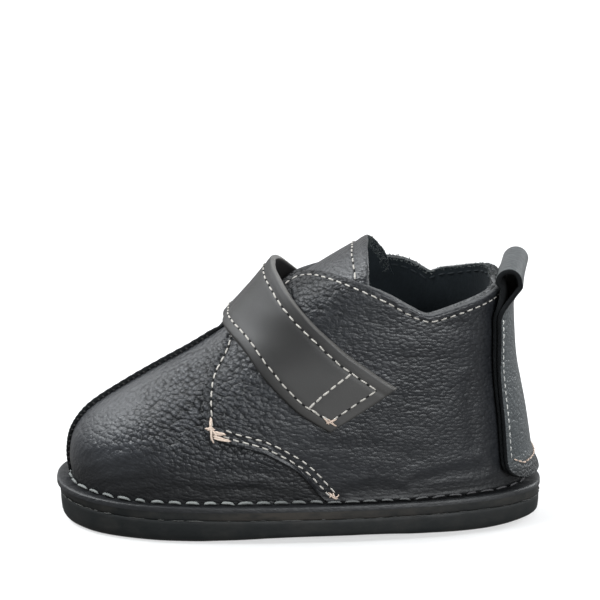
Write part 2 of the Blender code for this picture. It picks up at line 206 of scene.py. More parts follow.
def angle_at(x, height):
    """Angle of the column that passes a place on the boot's side view."""
    columns = [on_last(TURN, np.full_like(TURN, level))[:, 0] for level in height]
    return np.array([np.interp(place, column, TURN) for place, column in zip(x, columns)])


print("top line: lowest", TOP_LINE[-1].min().round(1), "mm, at the heel", TOP_LINE[-1][-1].round(1), "mm")

# %% [markdown]
# ## Creases
# Soft leather pulled over a last keeps shallow folds: drawn-in pleats above the sole, a few across the
# flex of the foot and some beside the heel. A random field would put them anywhere, so each one is listed
# as a line on the side view, with its width and depth, and is pressed into the mesh as a soft
# trough with a low ridge on both sides.

# %% Table of creases and the press
CREASES = table(
    "x height to_x to_height width depth",
    [
        (-57, 15.5, -42, 20.0, 1.2, 0.13), (-52, 13.8, -35, 17.2, 1.3, 0.15),
        (-58, 19.5, -46, 24.5, 1.1, 0.10), (-46, 21.0, -31, 24.2, 1.3, 0.13),
        (-40, 13.4, -26, 15.2, 1.3, 0.18), (-26, 13.4, -9, 14.6, 1.4, 0.20),
        (-33, 30.0, -27, 37.0, 1.2, 0.18), (-31, 44.0, -25, 36.5, 1.2, 0.18),
        (-36, 26.0, -28, 29.5, 1.3, 0.14), (-20, 19.5, -6, 18.6, 1.6, 0.18),
        (-3, 35.0, 16, 31.5, 2.2, 0.08), (6, 27.5, 30, 23.5, 2.4, 0.10),
        (14, 41.0, 36, 37.0, 2.2, 0.08), (22, 51.0, 42, 47.5, 2.0, 0.08),
        (30, 15.5, 48, 17.5, 1.8, 0.20), (46, 24.0, 44, 42.0, 1.8, 0.16),
        (14, 14.6, 27, 14.0, 1.6, 0.20), (38, 58.5, 46, 56.0, 1.8, 0.10),
    ],
)
CREASE_BOW, OUTER_SHIFT, OUTER_LIFT = 0.9, 2.3, 1.1
RIPPLE, RIDGE, RIDGE_AT = 0.06, 0.55, 1.7


def crease_lines(side):
    share = np.linspace(0, 1, 24)
    lines = []
    for row in CREASES:
        x = row["x"] + (row["to_x"] - row["x"]) * share
        bow = CREASE_BOW * np.sin(np.pi * share)
        height = row["height"] + (row["to_height"] - row["height"]) * share + bow
        if side > 0:
            x, height = x + OUTER_SHIFT, height + OUTER_LIFT
        lines.append((wall(side * angle_at(x, height), height), row["width"], row["depth"]))
    return lines


CREASE_LINES = {side: crease_lines(side) for side in SIDES}


def relief(points):
    """Height of the leather's folds over the last, in millimetres: troughs below zero, ridges above."""
    flat = points.reshape(-1, 3)
    x, y, z = flat.T
    lift = RIPPLE * np.sin(x / 4.1 + 1.7 * np.sin(z / 7.3)) * np.sin(z / 3.4 + 0.9 * np.sin(x / 9.0) + y / 15)
    for side, lines in CREASE_LINES.items():
        mine = np.flatnonzero(y * side > -4)
        for line, width, depth in lines:
            gap = np.min([np.sum((flat[mine] - point) ** 2, axis=1) for point in line], axis=0)
            reach = np.sqrt(gap) / width
            lift[mine] += depth * (RIDGE * np.exp(-((reach - RIDGE_AT) ** 2)) - np.exp(-(reach**2)))
    return lift.reshape(points.shape[:-1])


print("creases placed by hand:", 2 * len(CREASES))

# %% [markdown]
# ## Helpers for leather pieces
# A cut piece of leather is a sheet with two faces and a worked edge. The Solidify modifier could thicken
# a sheet, but here both faces are placed directly, because the edge can then be rounded over and the
# lining can take its own finish. Named marks on the points tell the materials where grain, cut edges,
# rubbed places and painted shade lie.


# %% A skin with two faces
SHARP_DEG = 50.0


def skin(name, outer, inner, looks, ring=False, keep=None, marks=None, raw=None):
    """A closed piece from the points of its two faces: rows run up, columns run along. The looks are those
    of the outer face, the inner face and the squares marked raw."""
    rows, columns = outer.shape[:2]
    back = rows * columns
    index = np.arange(back).reshape(rows, columns)
    if ring:
        index = np.hstack([index, index[:, :1]])
    quads = np.stack([index[:-1, :-1], index[:-1, 1:], index[1:, 1:], index[1:, :-1]], axis=-1)
    quads = quads.reshape(-1, 4) if keep is None else quads[keep]
    sides = np.concatenate([quads[:, [i, (i + 1) % 4]] for i in range(4)])
    lone = ~np.isin(sides[:, 0] * back + sides[:, 1], sides[:, 1] * back + sides[:, 0])
    edge = sides[lone]
    rim = np.column_stack([edge[:, 1], edge[:, 0], edge[:, 0] + back, edge[:, 1] + back])
    faces = np.concatenate([quads, quads[:, ::-1] + back, rim])
    last_look = len(looks) - 1
    rim_look = 0 if raw is None else last_look
    part = np.repeat([0, min(1, last_look), rim_look], [len(quads), len(quads), len(rim)])
    if raw is not None:
        part[: 2 * len(quads)][np.tile(raw[1:, 1:].ravel(), 2)] = last_look
    used, faces = np.unique(faces, return_inverse=True)
    faces = faces.reshape(-1, 4)
    points = np.concatenate([outer.reshape(-1, 3), inner.reshape(-1, 3)])[used]
    mesh = bpy.data.meshes.new(name)
    mesh.from_pydata((points * MM).tolist(), [], faces.tolist())
    mesh.polygons.foreach_set("material_index", part)
    for mark, values in (marks or {}).items():
        both = np.concatenate([np.broadcast_to(values, (rows, columns)).ravel()] * 2)[used]
        mesh.attributes.new(mark, "FLOAT", "POINT").data.foreach_set("value", both.astype(np.float32))
    return seat(name, mesh, looks)


def seat(name, mesh, looks, sharp=SHARP_DEG):
    """Tidies a mesh, gives it its finish and sets it on the boot."""
    work = bmesh.new()
    work.from_mesh(mesh)
    bmesh.ops.recalc_face_normals(work, faces=work.faces)
    work.to_mesh(mesh)
    work.free()
    for look in looks:
        mesh.materials.append(look)
    mesh.shade_smooth()
    mesh.set_sharp_from_angle(angle=np.radians(sharp))
    piece = bpy.data.objects.new(name, mesh)
    bpy.context.scene.collection.objects.link(piece)
    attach(piece, "root")
    print(name, "has", sum(len(face.vertices) - 2 for face in mesh.polygons), "triangles")
    return piece


print("leather edges over", SHARP_DEG, "degrees are shaded sharp")


# %% Spacing, normals and rounded edges of a grid
def shares(count, fine):
    """Shares from 0 to 1 that lie closer together at both ends, where a cut edge is rounded."""
    ends = fine * np.array([0.0, 0.08, 0.2, 0.4, 0.68])
    return np.concatenate([ends, np.linspace(fine, 1 - fine, count), 1 - ends[::-1]])


def from_edges(points):
    """Distance of each grid point from the lower, upper, back and front edge."""
    up = np.linalg.norm(np.diff(points, axis=0), axis=-1)
    along = np.linalg.norm(np.diff(points, axis=1), axis=-1)
    low = np.vstack([np.zeros(points.shape[1]), np.cumsum(up, axis=0)])
    back = np.hstack([np.zeros((points.shape[0], 1)), np.cumsum(along, axis=1)])
    return low, low[-1] - low, back, back[:, -1:] - back


def grid_normals(points):
    normal = np.cross(np.gradient(points, axis=1), np.gradient(points, axis=0))
    return normal / np.linalg.norm(normal, axis=-1, keepdims=True)


def rounded(distance, radius):
    """Share of the full thickness at a distance from a cut edge."""
    return 0.2 + 0.8 * np.sqrt(1 - (1 - ramp(distance, 0, radius)) ** 2)


def trough(distance, at, depth, width=0.55):
    """The dip that a sewn row pulls into leather."""
    return -depth * np.exp(-(((distance - at) / width) ** 2))


print("edge spacing sample:", shares(3, 0.1).round(3))

# %% [markdown]
# ## Finishes
# The leathers, rubber and threads are all worked from noise in the object's own coordinates, so that no
# picture is needed and the grain stays the size it is on the boot. A small class keeps the nodes of one
# finish together and joins their sockets, which keeps each recipe short.


# %% A recipe and its steps
class Recipe:
    """The nodes of one finish, or of the air, with short calls that add a node and join it."""

    def __init__(self, owner):
        owner.use_nodes = True
        self.look, self.tree = owner, owner.node_tree
        self.coords = self.node("TexCoord").outputs["Object"]

    def node(self, kind, settings=None, sockets=None):
        made = self.tree.nodes.new("ShaderNode" + kind)
        for name, value in (settings or {}).items():
            setattr(made, name, value)
        for name, value in (sockets or {}).items():
            self.join(made.inputs[name], value)
        return made

    def join(self, socket, value):
        if isinstance(value, bpy.types.NodeSocket):
            self.tree.links.new(value, socket)
        else:
            socket.default_value = (*value, 1.0) if socket.type == "RGBA" else value

    def set(self, name, value):
        """Gives a socket of the shader a node's output or a plain value."""
        self.join(self.tree.nodes["Principled BSDF"].inputs[name], value)

    def maths(self, operation, a, b):
        return self.node("Math", {"operation": operation}, {0: a, 1: b}).outputs[0]

    def plus(self, a, b):
        return self.maths("ADD", a, b)

    def minus(self, a, b):
        return self.maths("SUBTRACT", a, b)

    def times(self, a, b):
        return self.maths("MULTIPLY", a, b)

    def vector(self, operation, a, b):
        second = "Scale" if operation == "SCALE" else 1
        return self.node("VectorMath", {"operation": operation}, {0: a, second: b}).outputs[0]

    def noise(self, coords, scale, detail=4.0, rough=0.55, output="Fac"):
        sockets = {"Vector": coords, "Scale": scale, "Detail": detail, "Roughness": rough}
        return self.node("TexNoise", None, sockets).outputs[output]

    def spread(self, value, low, high, to_low=0.0, to_high=1.0):
        sockets = {"Value": value, "From Min": low, "From Max": high, "To Min": to_low, "To Max": to_high}
        return self.node("MapRange", None, sockets).outputs["Result"]

    def blend(self, share, first, second):
        sockets = {"Factor": share, 6: first, 7: second}
        return self.node("Mix", {"data_type": "RGBA"}, sockets).outputs[2]

    def mark(self, name):
        return self.node("Attribute", {"attribute_name": name}).outputs["Fac"]

    def axis(self, coords, letter):
        return self.node("SeparateXYZ", None, {0: coords}).outputs[letter]

    def stretched(self, scale, tilt=0.0, coords=None):
        """Coordinates scaled along three axes, after a tilt about the sideways axis."""
        coords = self.coords if coords is None else coords
        sockets = {"Vector": coords, "Scale": tuple(1 / s for s in scale), "Rotation": (0.0, tilt, 0.0)}
        return self.node("Mapping", {"vector_type": "TEXTURE"}, sockets).outputs["Vector"]

    def bump(self, height, strength, distance):
        sockets = {"Strength": strength, "Distance": distance, "Height": height}
        self.set("Normal", self.node("Bump", None, sockets).outputs["Normal"])


def new_finish(name):
    return Recipe(bpy.data.materials.new(name))


print("a recipe has", len([step for step in vars(Recipe) if not step.startswith("_")]), "kinds of step")

# %% [markdown]
# ## Pebbled leather
# Milled hide shows small domes about 1.5 mm across with sharp valleys between them, flatter where the
# leather is stretched over the toe. Voronoi cells give the domes and the valleys, and a noise field bends
# their rows. Marks on the mesh steer it: grain fades the domes, drawn turns them into low wrinkles, pull
# adds stretched lines, cut shows a raw edge, and one more mark darkens the leather down by the sole as
# painted shade.

# %% Relief of the pebbled leather
PEBBLES, WRINKLES, SPECKS, PORES, PULL_LINES = 770.0, 1060.0, 1900.0, 2600.0, 1150.0  # in a metre
ROW_BEND = 0.0009


def domes(recipe, coords, scale, order=0.85):
    """Round domes with sharp valleys, from 1 at a crown down to about 0."""
    sockets = {"Vector": coords, "Scale": scale, "Randomness": order}
    reach = recipe.node("TexVoronoi", {"feature": "F1"}, sockets).outputs["Distance"]
    return recipe.minus(1.0, recipe.maths("POWER", recipe.times(reach, 1.3), 1.8))


def leather_relief(r):
    bend = r.vector("SUBTRACT", r.noise(r.coords, 140.0, 2.0, 0.5, "Color"), (0.5, 0.5, 0.5))
    wound = r.vector("ADD", r.coords, r.vector("SCALE", bend, ROW_BEND))
    drawn = r.mark("drawn")
    broad = domes(r, r.stretched((0.80, 0.95, 1.1), 0.25, wound), PEBBLES)
    close = domes(r, r.stretched((0.68, 0.95, 1.15), 0.10, wound), WRINKLES)
    waves = r.spread(r.noise(r.stretched((0.5, 0.9, 1.1), 0.06, wound), 760.0, 2.0), 0.34, 0.66)
    close = r.plus(r.times(close, 0.5), r.times(waves, 0.35))
    coarse = r.plus(r.times(broad, r.minus(1.0, drawn)), r.times(close, drawn))
    small = r.times(domes(r, wound, SPECKS, 1.0), r.spread(drawn, 0.0, 1.0, 0.2, 0.07))
    height = r.times(r.minus(r.plus(coarse, small), 0.65), r.mark("grain"))
    pores = r.noise(r.stretched((0.6, 1.0, 1.4), 0.0, wound), PORES, 5.0, 0.65)
    height = r.plus(height, r.times(pores, r.spread(drawn, 0.0, 1.0, 0.22, 0.10)))
    lines = r.noise(r.stretched((0.16, 0.5, 1.0), -0.75, wound), PULL_LINES, 3.0, 0.5)
    return r.plus(height, r.times(lines, r.mark("pull")))


print("pebbles", round(1 / (PEBBLES * MM), 2), "mm apart, wrinkles", round(1 / (WRINKLES * MM), 2), "mm")

# %% Colour and gloss of the pebbled leather
# Colour of the painted shade that darkens the leather down by the sole and in other shaded places.
PAINTED_SHADE_COLOUR = (0.002, 0.0022, 0.0026)


def pebbled_leather(name, deep, pale, edge):
    r = new_finish(name)
    height = leather_relief(r)
    r.bump(height, 0.9, 0.00042)
    patchy = r.spread(r.noise(r.coords, 95.0, 3.0), 0.3, 0.7, 0.5, 1.0)
    # Painted highlight and shade: dome crowns are painted paler and valleys darker, as light and shade would
    # show them.
    colour = r.blend(r.times(r.spread(height, -0.3, 0.5), patchy), deep, pale)
    # Painted shade: this mark darkens the colour and roughens the gloss where shade falls.
    grime = r.mark("grime")
    r.set("Base Color", r.blend(grime, r.blend(r.mark("cut"), colour, edge), PAINTED_SHADE_COLOUR))
    gloss = r.spread(r.noise(r.coords, 420.0), 0.3, 0.7, 0.31, 0.43)
    r.set("Roughness", r.plus(gloss, r.times(grime, 0.2)))
    r.set("Specular IOR Level", 0.30)
    r.set("Coat Weight", 0.05)
    r.set("Coat Roughness", 0.35)
    return r.look


BLACK_LEATHER = pebbled_leather(
    "pebbled_black_leather", (0.0065, 0.0071, 0.0083), (0.024, 0.0257, 0.0293), (0.07, 0.072, 0.073)
)
STRIP_LEATHER = pebbled_leather(
    "heel_strip_leather", (0.034, 0.038, 0.040), (0.068, 0.075, 0.077), (0.02, 0.02, 0.02)
)
print("made", BLACK_LEATHER.name, "and", STRIP_LEATHER.name)

# %% [markdown]
# ## Smooth leather, lining, rubber and thread
# The strap is plain corrected leather: almost no grain, a matte sheen and paler buffed edges. The lining
# is brushed suede, so it has sheen and a rough nap. The sole is matte rubber with faint drag marks and a
# brownish rub at its waist. Thread is twisted, which a fine noise along its length can hint at.

# %% Recipes for the plainer finishes
RUBBER_SHINE, PLAIN_SHINE = 0.27, 0.5
RUB_FRONT, RUB_BACK, HEEL_FADE = (-0.028, -0.010), (0.0, 0.045), (-0.025, 0.045)  # metres along X


def smooth_leather(name, deep, pale, edge):
    r = new_finish(name)
    pores, cloud = r.noise(r.coords, 3200.0, 4.0, 0.6), r.noise(r.coords, 70.0, 3.0, 0.5)
    r.bump(r.plus(pores, r.times(cloud, 0.6)), 0.28, 0.00010)
    colour = r.blend(r.spread(cloud, 0.3, 0.7), deep, pale)
    r.set("Base Color", r.blend(r.mark("cut"), colour, edge))
    r.set("Roughness", r.spread(pores, 0.3, 0.7, 0.46, 0.58))
    r.set("Specular IOR Level", 0.38)
    return r.look


def brushed(name, deep, pale, sheen, shine=PLAIN_SHINE):
    r = new_finish(name)
    nap = r.noise(r.stretched((1.0, 1.0, 0.45)), 1900.0, 6.0, 0.7)
    stroke = r.noise(r.stretched((1.0, 1.0, 0.35)), 160.0, 3.0)
    r.bump(nap, 0.7, 0.00035)
    shade = r.times(r.spread(nap, 0.35, 0.7), r.spread(stroke, 0.35, 0.65, 0.3, 1.0))
    r.set("Base Color", r.blend(shade, deep, pale))
    r.set("Roughness", 0.95)
    r.set("Sheen Weight", sheen)
    r.set("Sheen Roughness", 0.5)
    r.set("Specular IOR Level", shine)
    return r.look


def rubber(name, deep, pale, rub=None):
    r = new_finish(name)
    drag = r.noise(r.stretched((0.35, 0.35, 1.0)), 700.0, 4.0, 0.6)
    r.bump(r.plus(drag, r.times(r.noise(r.coords, 2400.0, 3.0), 0.5)), 0.35, 0.00016)
    dust = r.times(r.spread(r.noise(r.coords, 120.0, 5.0, 0.65), 0.42, 0.72), drag)
    colour = r.blend(dust, deep, pale)
    if rub:
        along = r.axis(r.coords, "X")
        fade = r.times(r.spread(along, *RUB_FRONT), r.spread(along, *RUB_BACK, 1.0, 0.1))
        colour = r.blend(r.times(fade, r.spread(drag, 0.35, 0.6, 0.2, 0.9)), colour, rub)
    r.set("Base Color", colour)
    r.set("Roughness", r.spread(drag, 0.3, 0.7, 0.52, 0.68))
    r.set("Specular IOR Level", RUBBER_SHINE)
    return r.look


def thread(name, deep, pale, shine=PLAIN_SHINE, heel=None):
    """A twisted thread, which may darken toward the heel."""
    r = new_finish(name)
    twist = r.noise(r.coords, 2800.0, 3.0)
    r.bump(twist, 0.5, 0.00012)
    shade = r.plus(r.times(twist, 0.5), r.times(r.noise(r.coords, 60.0, 2.0), 0.5))
    colour = r.blend(r.spread(shade, 0.35, 0.65), deep, pale)
    if heel:
        colour = r.blend(r.spread(r.axis(r.coords, "X"), *HEEL_FADE), colour, heel)
    r.set("Base Color", colour)
    r.set("Roughness", 0.75)
    r.set("Specular IOR Level", shine)
    return r.look


print("plain recipes:", [recipe.__name__ for recipe in (smooth_leather, brushed, rubber, thread)])

# %% The finishes used on this boot
STRAP_LEATHER = smooth_leather(
    "strap_leather", (0.0100, 0.0096, 0.0095), (0.016, 0.0154, 0.0149), (0.082, 0.079, 0.075)
)
SUEDE_LINING = brushed("suede_lining", (0.0046, 0.0066, 0.0080), (0.0095, 0.0126, 0.0150), 0.02, shine=0.12)
RAISED_NAP = brushed("raised_nap", (0.014, 0.0185, 0.0185), (0.040, 0.050, 0.049), 0.2)
FOOTBED = brushed("footbed_suede", (0.020, 0.019, 0.017), (0.050, 0.047, 0.042), 0.2)
SOLE_RUBBER = rubber("sole_rubber", (0.0036, 0.0048, 0.0051), (0.018, 0.0172, 0.0156))
MIDSOLE_RUBBER = rubber(
    "midsole_rubber", (0.0048, 0.0060, 0.0063), (0.032, 0.0290, 0.0250), rub=(0.028, 0.0242, 0.0203)
)
CREAM_THREAD = thread("cream_thread", (0.235, 0.22, 0.20), (0.44, 0.42, 0.385))
TACK_THREAD = thread("tack_thread", (0.31, 0.225, 0.175), (0.54, 0.45, 0.38))
SOLE_THREAD = thread("sole_thread", (0.085, 0.092, 0.09), (0.19, 0.20, 0.192), heel=(0.033, 0.032, 0.034))
GREY_THREAD = thread("strip_thread", (0.26, 0.26, 0.25), (0.46, 0.46, 0.44))
RAW_LEATHER = brushed("raw_cut_leather", (0.003, 0.0035, 0.004), (0.009, 0.0098, 0.0105), 0.0, shine=0.12)
# Black thread for the whipping; the same dark finish paints the shade in the needle holes.
BLACK_THREAD_AND_HOLE_SHADE = thread("black_thread_and_hole_shade", (0.003, 0.003, 0.003), (0.010, 0.010, 0.010), shine=0.2)
CEMENT = thread("dried_cement", (0.012, 0.013, 0.0125), (0.06, 0.06, 0.056), heel=(0.008, 0.008, 0.0078))
LINING_THREAD = thread("lining_thread", (0.005, 0.0068, 0.008), (0.013, 0.0165, 0.019), shine=0.15)
print("finishes:", len(bpy.data.materials))

# %% [markdown]
# ## Sole
# The sole is two flat pieces of rubber under the leather flange. A loft through stacked outlines makes
# each one with rounded edges; a bevel would do it too, but the outlines also carry the toe spring and the
# raised waist.


# %% Stacked outlines
def ring_block(name, rings, look):
    count = len(rings[0])
    mesh = bpy.data.meshes.new(name)
    block = bmesh.new()
    loops = [[block.verts.new(point * MM) for point in ring] for ring in rings]
    for lower, upper in zip(loops, loops[1:]):
        for i in range(count):
            j = (i + 1) % count
            block.faces.new((lower[i], lower[j], upper[j], upper[i]))
    for loop in (loops[0], loops[-1]):
        for i in range(count // 2):
            corners = dict.fromkeys((loop[i], loop[i + 1], loop[count - i - 1], loop[-i % count]))
            block.faces.new(list(corners))
    block.to_mesh(mesh)
    block.free()
    return seat(name, mesh, [look])


SOLE_POINTS, TOE_TUCK, TUCK_TURN = 288, 0.8, (0.55, 0.9)


def toe_tuck(angle):
    """How far the sole's side draws in round the toe."""
    return TOE_TUCK * ramp(np.cos(angle), *TUCK_TURN)


def sole_ring(inset, height, tuck=1.0):
    """The sole's outline, a little uneven as a hand-trimmed edge is."""
    angle = np.linspace(0, 2 * np.pi, SOLE_POINTS, endpoint=False)
    x, y = sole_outline(angle, inset + tuck * toe_tuck(angle))
    sway = 0.10 * np.sin(7 * angle + 1.0) + 0.06 * np.sin(17 * angle)
    x, y = x - sway * np.cos(angle), y + sway * np.sin(angle)
    return np.stack([x, y, height + toe_spring(x)], axis=-1)


print("sole outline:", np.ptp(sole_ring(0.0, 0.0, 0.0), axis=0)[:2].round(1), "mm")

# %% Outsole, midsole and footbed
EDGE_ROUND, EDGE_INSET, TOE_DROP = 2.8, 0.3, 0.9
HEEL_RISE, HEEL_RISE_START = 1.9, 36.0
WAIST = table(
    "x rise",
    [
        (-26, 0.0), (-16, 0.55), (-8, 1.15), (0, 1.45), (8, 1.7), (18, 1.75),
        (24, 1.5), (30, 1.05), (36, 0.85), (44, 0.3), (50, 0.0),
    ],
)
OUTSOLE_LEVELS = table(
    "inset height", [(0.22, 3.4), (0.14, 4.6), (0.12, 5.6), (0.16, 6.2), (0.32, OUTSOLE_THICK)]
)
MIDSOLE_LEVELS = table(
    "inset rise", [(0.55, -0.28), (0.34, -0.12), (0.24, 0.2), (0.2, 1.1), (0.16, 1.7), (0.16, 2.08)]
)
FOOTBED_LEVELS = table(
    "inset rise", [(0.5, 0.0), (0.1, 0.2), (0.0, 0.6), (0.0, 1.4), (0.25, 1.8), (0.7, 2.0)]
)
FOOTBED_POINTS, FOOTBED_GAP = 160, 0.6

turn = np.radians(np.linspace(0, 90, 7))
rings = [sole_ring(EDGE_ROUND * (1 - np.sin(t)) + EDGE_INSET, EDGE_ROUND * (1 - np.cos(t))) for t in turn]
for ring, share in zip(rings, np.linspace(1, 0, len(rings))):
    x = ring[:, 0]
    heel = HEEL_RISE * ramp(x, HEEL_RISE_START, SOLE_LENGTH / 2) ** 2
    ring[:, 2] += share * (np.interp(x, WAIST["x"], WAIST["rise"]) + heel - TOE_DROP * toe_spring(x))
rings += [sole_ring(inset, height) for inset, height in OUTSOLE_LEVELS]
outsole = ring_block("rubber_outsole", rings, SOLE_RUBBER)
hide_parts("outsole")

top = MIDSOLE_LEVELS["rise"][-1]
rings = [sole_ring(inset, MIDSOLE_BASE + rise, 1 - rise / top) for inset, rise in MIDSOLE_LEVELS]
midsole = ring_block("rubber_midsole", rings, MIDSOLE_RUBBER)
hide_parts("midsole")

angle = np.linspace(0, 2 * np.pi, FOOTBED_POINTS, endpoint=False)
border = wall(angle, CREASE_HEIGHT, -(WALL_THICK + FOOTBED_GAP))
spokes = border - border.mean(axis=0)
rings = []
for inset, rise in FOOTBED_LEVELS:
    ring = border - inset * spokes / np.linalg.norm(spokes, axis=-1, keepdims=True)
    ring[:, 2] = FLANGE_BASE + rise + toe_spring(ring[:, 0])
    rings.append(ring)
footbed = ring_block("footbed_suede_insole", rings, FOOTBED)
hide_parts("insole")

# %% [markdown]
# ## Upper
# The vamp and the inner ply of both quarters are one shell: it turns out into a flange at the sole, runs
# up the last and stops at the throat and the top line. The grid's columns bend so that two of them follow
# the throat edges. Its inner face wears the suede lining.

# %% Rows and columns of the upper
QUARTER_COLUMNS, THROAT_COLUMNS = 118, 36
FLANGE_ROWS, VAMP_ROWS, COLLAR_ROWS = 8, 62, 30
VAMP_TOP = FLANGE_ROWS + VAMP_ROWS
UPPER_ROWS, UPPER_COLUMNS = VAMP_TOP + COLLAR_ROWS, 2 * QUARTER_COLUMNS + THROAT_COLUMNS
THROAT_ANGLE, THROAT_EDGE_HEIGHT, THROAT_DIP, THROAT_DIP_TURN = np.radians(22.0), 53.0, 1.6, (0.45, 0.23)
THROAT_FRONT_HEIGHT, THROAT_BACK_HEIGHT = 54.6, 42.0


def upper_angle(step, height):
    """Angle of a column: the inner quarter, then the throat, then the outer quarter."""
    edge = np.where(height > THROAT_EDGE_HEIGHT, quarter_front_angle(height), THROAT_ANGLE)
    inner = -np.pi + (np.pi - edge) * step / QUARTER_COLUMNS
    throat = edge * (2 * (step - QUARTER_COLUMNS) / THROAT_COLUMNS - 1)
    outer = edge + (np.pi - edge) * (step - QUARTER_COLUMNS - THROAT_COLUMNS) / QUARTER_COLUMNS
    in_throat = np.abs(step - UPPER_COLUMNS / 2) <= THROAT_COLUMNS / 2
    return np.where(in_throat, throat, np.where(step < UPPER_COLUMNS / 2, inner, outer))


def upper_grid():
    row, step = np.meshgrid(np.arange(UPPER_ROWS + 1.0), np.arange(float(UPPER_COLUMNS)), indexing="ij")
    angle = upper_angle(step, np.full_like(step, CREASE_HEIGHT))
    vamp_share, collar_share = ramp(row, FLANGE_ROWS, VAMP_TOP), ramp(row, VAMP_TOP, UPPER_ROWS)
    for _ in range(SEARCH_ROUNDS):
        rise = ((1 + np.cos(angle)) / 2) ** 1.2
        level = THROAT_BACK_HEIGHT + (THROAT_FRONT_HEIGHT - THROAT_BACK_HEIGHT) * rise
        top = collar_height(angle) - THROAT_DIP * ramp(np.abs(angle), *THROAT_DIP_TURN) ** 2
        height = CREASE_HEIGHT + (level - CREASE_HEIGHT) * vamp_share + (top - level) * collar_share
        angle = 0.5 * angle + 0.5 * upper_angle(step, height)
    return row, step, angle, height


row, step, angle, height = upper_grid()
print("upper grid:", row.shape)

# %% Flange, wall and lining of the upper
SOLE_STITCH_PITCH, STITCH_DIP = 4.7, 0.22
FLANGE_EDGE_DROP, FLANGE_EDGE_SHARE, FLANGE_CURVE = 0.55, 0.3, 1.3

lift = relief(wall(angle, height)) * ramp(row, FLANGE_ROWS, FLANGE_ROWS + 5)
outer, inner = wall(angle, height, lift), wall(angle, height, -WALL_THICK)
x, y = sole_outline(angle)
rim = np.stack([x, y, CREASE_HEIGHT + toe_spring(x)], axis=-1)
across = ramp(row, 0, FLANGE_ROWS) ** FLANGE_CURVE
flange = rim + (outer[FLANGE_ROWS] - rim) * across[..., None]
around = np.cumsum(np.linalg.norm(np.diff(rim[0], axis=0, prepend=rim[:1, -1]), axis=1))
draw_in = 0.5 + 0.5 * np.cos(2 * np.pi * around / SOLE_STITCH_PITCH)
edge_drop = 1 - np.sqrt(1 - ramp(across, FLANGE_EDGE_SHARE, 0) ** 2)
flange[..., 2] -= FLANGE_EDGE_DROP * edge_drop + STITCH_DIP * draw_in * across
under = flange.copy()
under[..., 2] = FLANGE_BASE - 0.2 + toe_spring(x)
on_flange = row < FLANGE_ROWS
outer, inner = (np.where(on_flange[..., None], *faces) for faces in ((flange, outer), (under, inner)))
inner[FLANGE_ROWS, :, 2] = under[FLANGE_ROWS, :, 2]
print("flange:", round(around[-1]), "mm round")

# %% Marks on the upper, and the piece


def grime(height):
    """Painted shade: the leather is darkened down by the sole."""
    return 0.85 * ramp(height, 19.0, 11.0)


place = on_last(angle, height)[..., 0]
toe_share, seam_share = ramp(place, -57.0, -33.0), ramp(np.abs(angle), 0.25, 0.75)
grain = 0.28 + 0.72 * toe_share * seam_share * (0.24 + 0.76 * ramp(height, 14.0, 31.0))
grain *= 1 + ramp(place, -45.0, -30.0) * (0.2 + 0.45 * ramp(height, 27.0, 35.0))
top_edge = 0.6 * ramp(row, UPPER_ROWS - 1.2, UPPER_ROWS - 0.2) * (angle < 0)
dust = np.where(on_flange, 0.05 + 0.15 * ramp(place, -30.0, 10.0), 0.0)
in_throat = np.abs(step[1:] + 0.5 - UPPER_COLUMNS / 2) < THROAT_COLUMNS / 2
upper = skin(
    "pebbled_upper", outer, inner, [BLACK_LEATHER, SUEDE_LINING], ring=True,
    keep=~(in_throat & (row[1:] > VAMP_TOP)),
    marks={
        "grain": np.where(on_flange, 0.2, grain),
        "cut": np.maximum(top_edge, dust),
        "drawn": ramp(height, 26.0, 16.0),
        "pull": 0.6 * ramp(place, -40.0, -52.0) * ramp(height, 36.0, 26.0),
        # Painted shade: darker down by the sole, and darker evenly over the flange.
        "grime": np.where(on_flange, 0.6, grime(0.8 * height)),
    },
)
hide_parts("upper")

# %% [markdown]
# ## Quarters
# Each quarter is a second ply laid over the upper from the heel to its curved front edge, with a rounded
# lower corner. It is a patch between four lines, so two shares, along and up, place every point. The
# rows that are sewn later pull shallow troughs, pressed in here.

# %% A patch between the quarter's four edges
CORNER, CORNER_IN, CORNER_UP = 0.1, 0.012, 0.03
TOP_CORNER, TOP_CORNER_IN, TOP_CORNER_DOWN = 0.12, 0.016, 0.03
QUARTER_BACK, QUARTER_INSIDE, FRONT_BOW = np.pi - 0.02, 0.12, 4
FRONT_ROW, TOP_ROW, LOWER_ROWS = 2.25, 1.9, (1.75, 3.4)


def quarter_patch(along, up, side):
    """Angle and height on one quarter: along runs from the heel to its front edge, up to the top line."""
    rounding = (ramp(along, 1 - CORNER, 1) * ramp(up, CORNER, 0)) ** 2
    turning = (ramp(along, 1 - TOP_CORNER, 1) * ramp(up, 1 - TOP_CORNER, 1)) ** 2
    along = along - CORNER_IN * rounding - TOP_CORNER_IN * turning
    up = up + CORNER_UP * rounding - TOP_CORNER_DOWN * turning
    corner = corner_top = quarter_front_angle(QUARTER_FRONT["height"][0])
    for _ in range(SEARCH_ROUNDS):
        corner_top = quarter_front_angle(float(collar_height(side * corner_top)))
    low_angle = QUARTER_BACK - (QUARTER_BACK - corner) * along
    top_angle = QUARTER_BACK - (QUARTER_BACK - corner_top) * along
    low = np.interp(low_angle, TURN, LOWER_LINE)
    height = low + (collar_height(side * top_angle) - low) * up
    angle = low_angle + (top_angle - low_angle) * up
    straight = corner + (corner_top - corner) * up
    return side * (angle + (quarter_front_angle(height) - straight) * along**FRONT_BOW), height


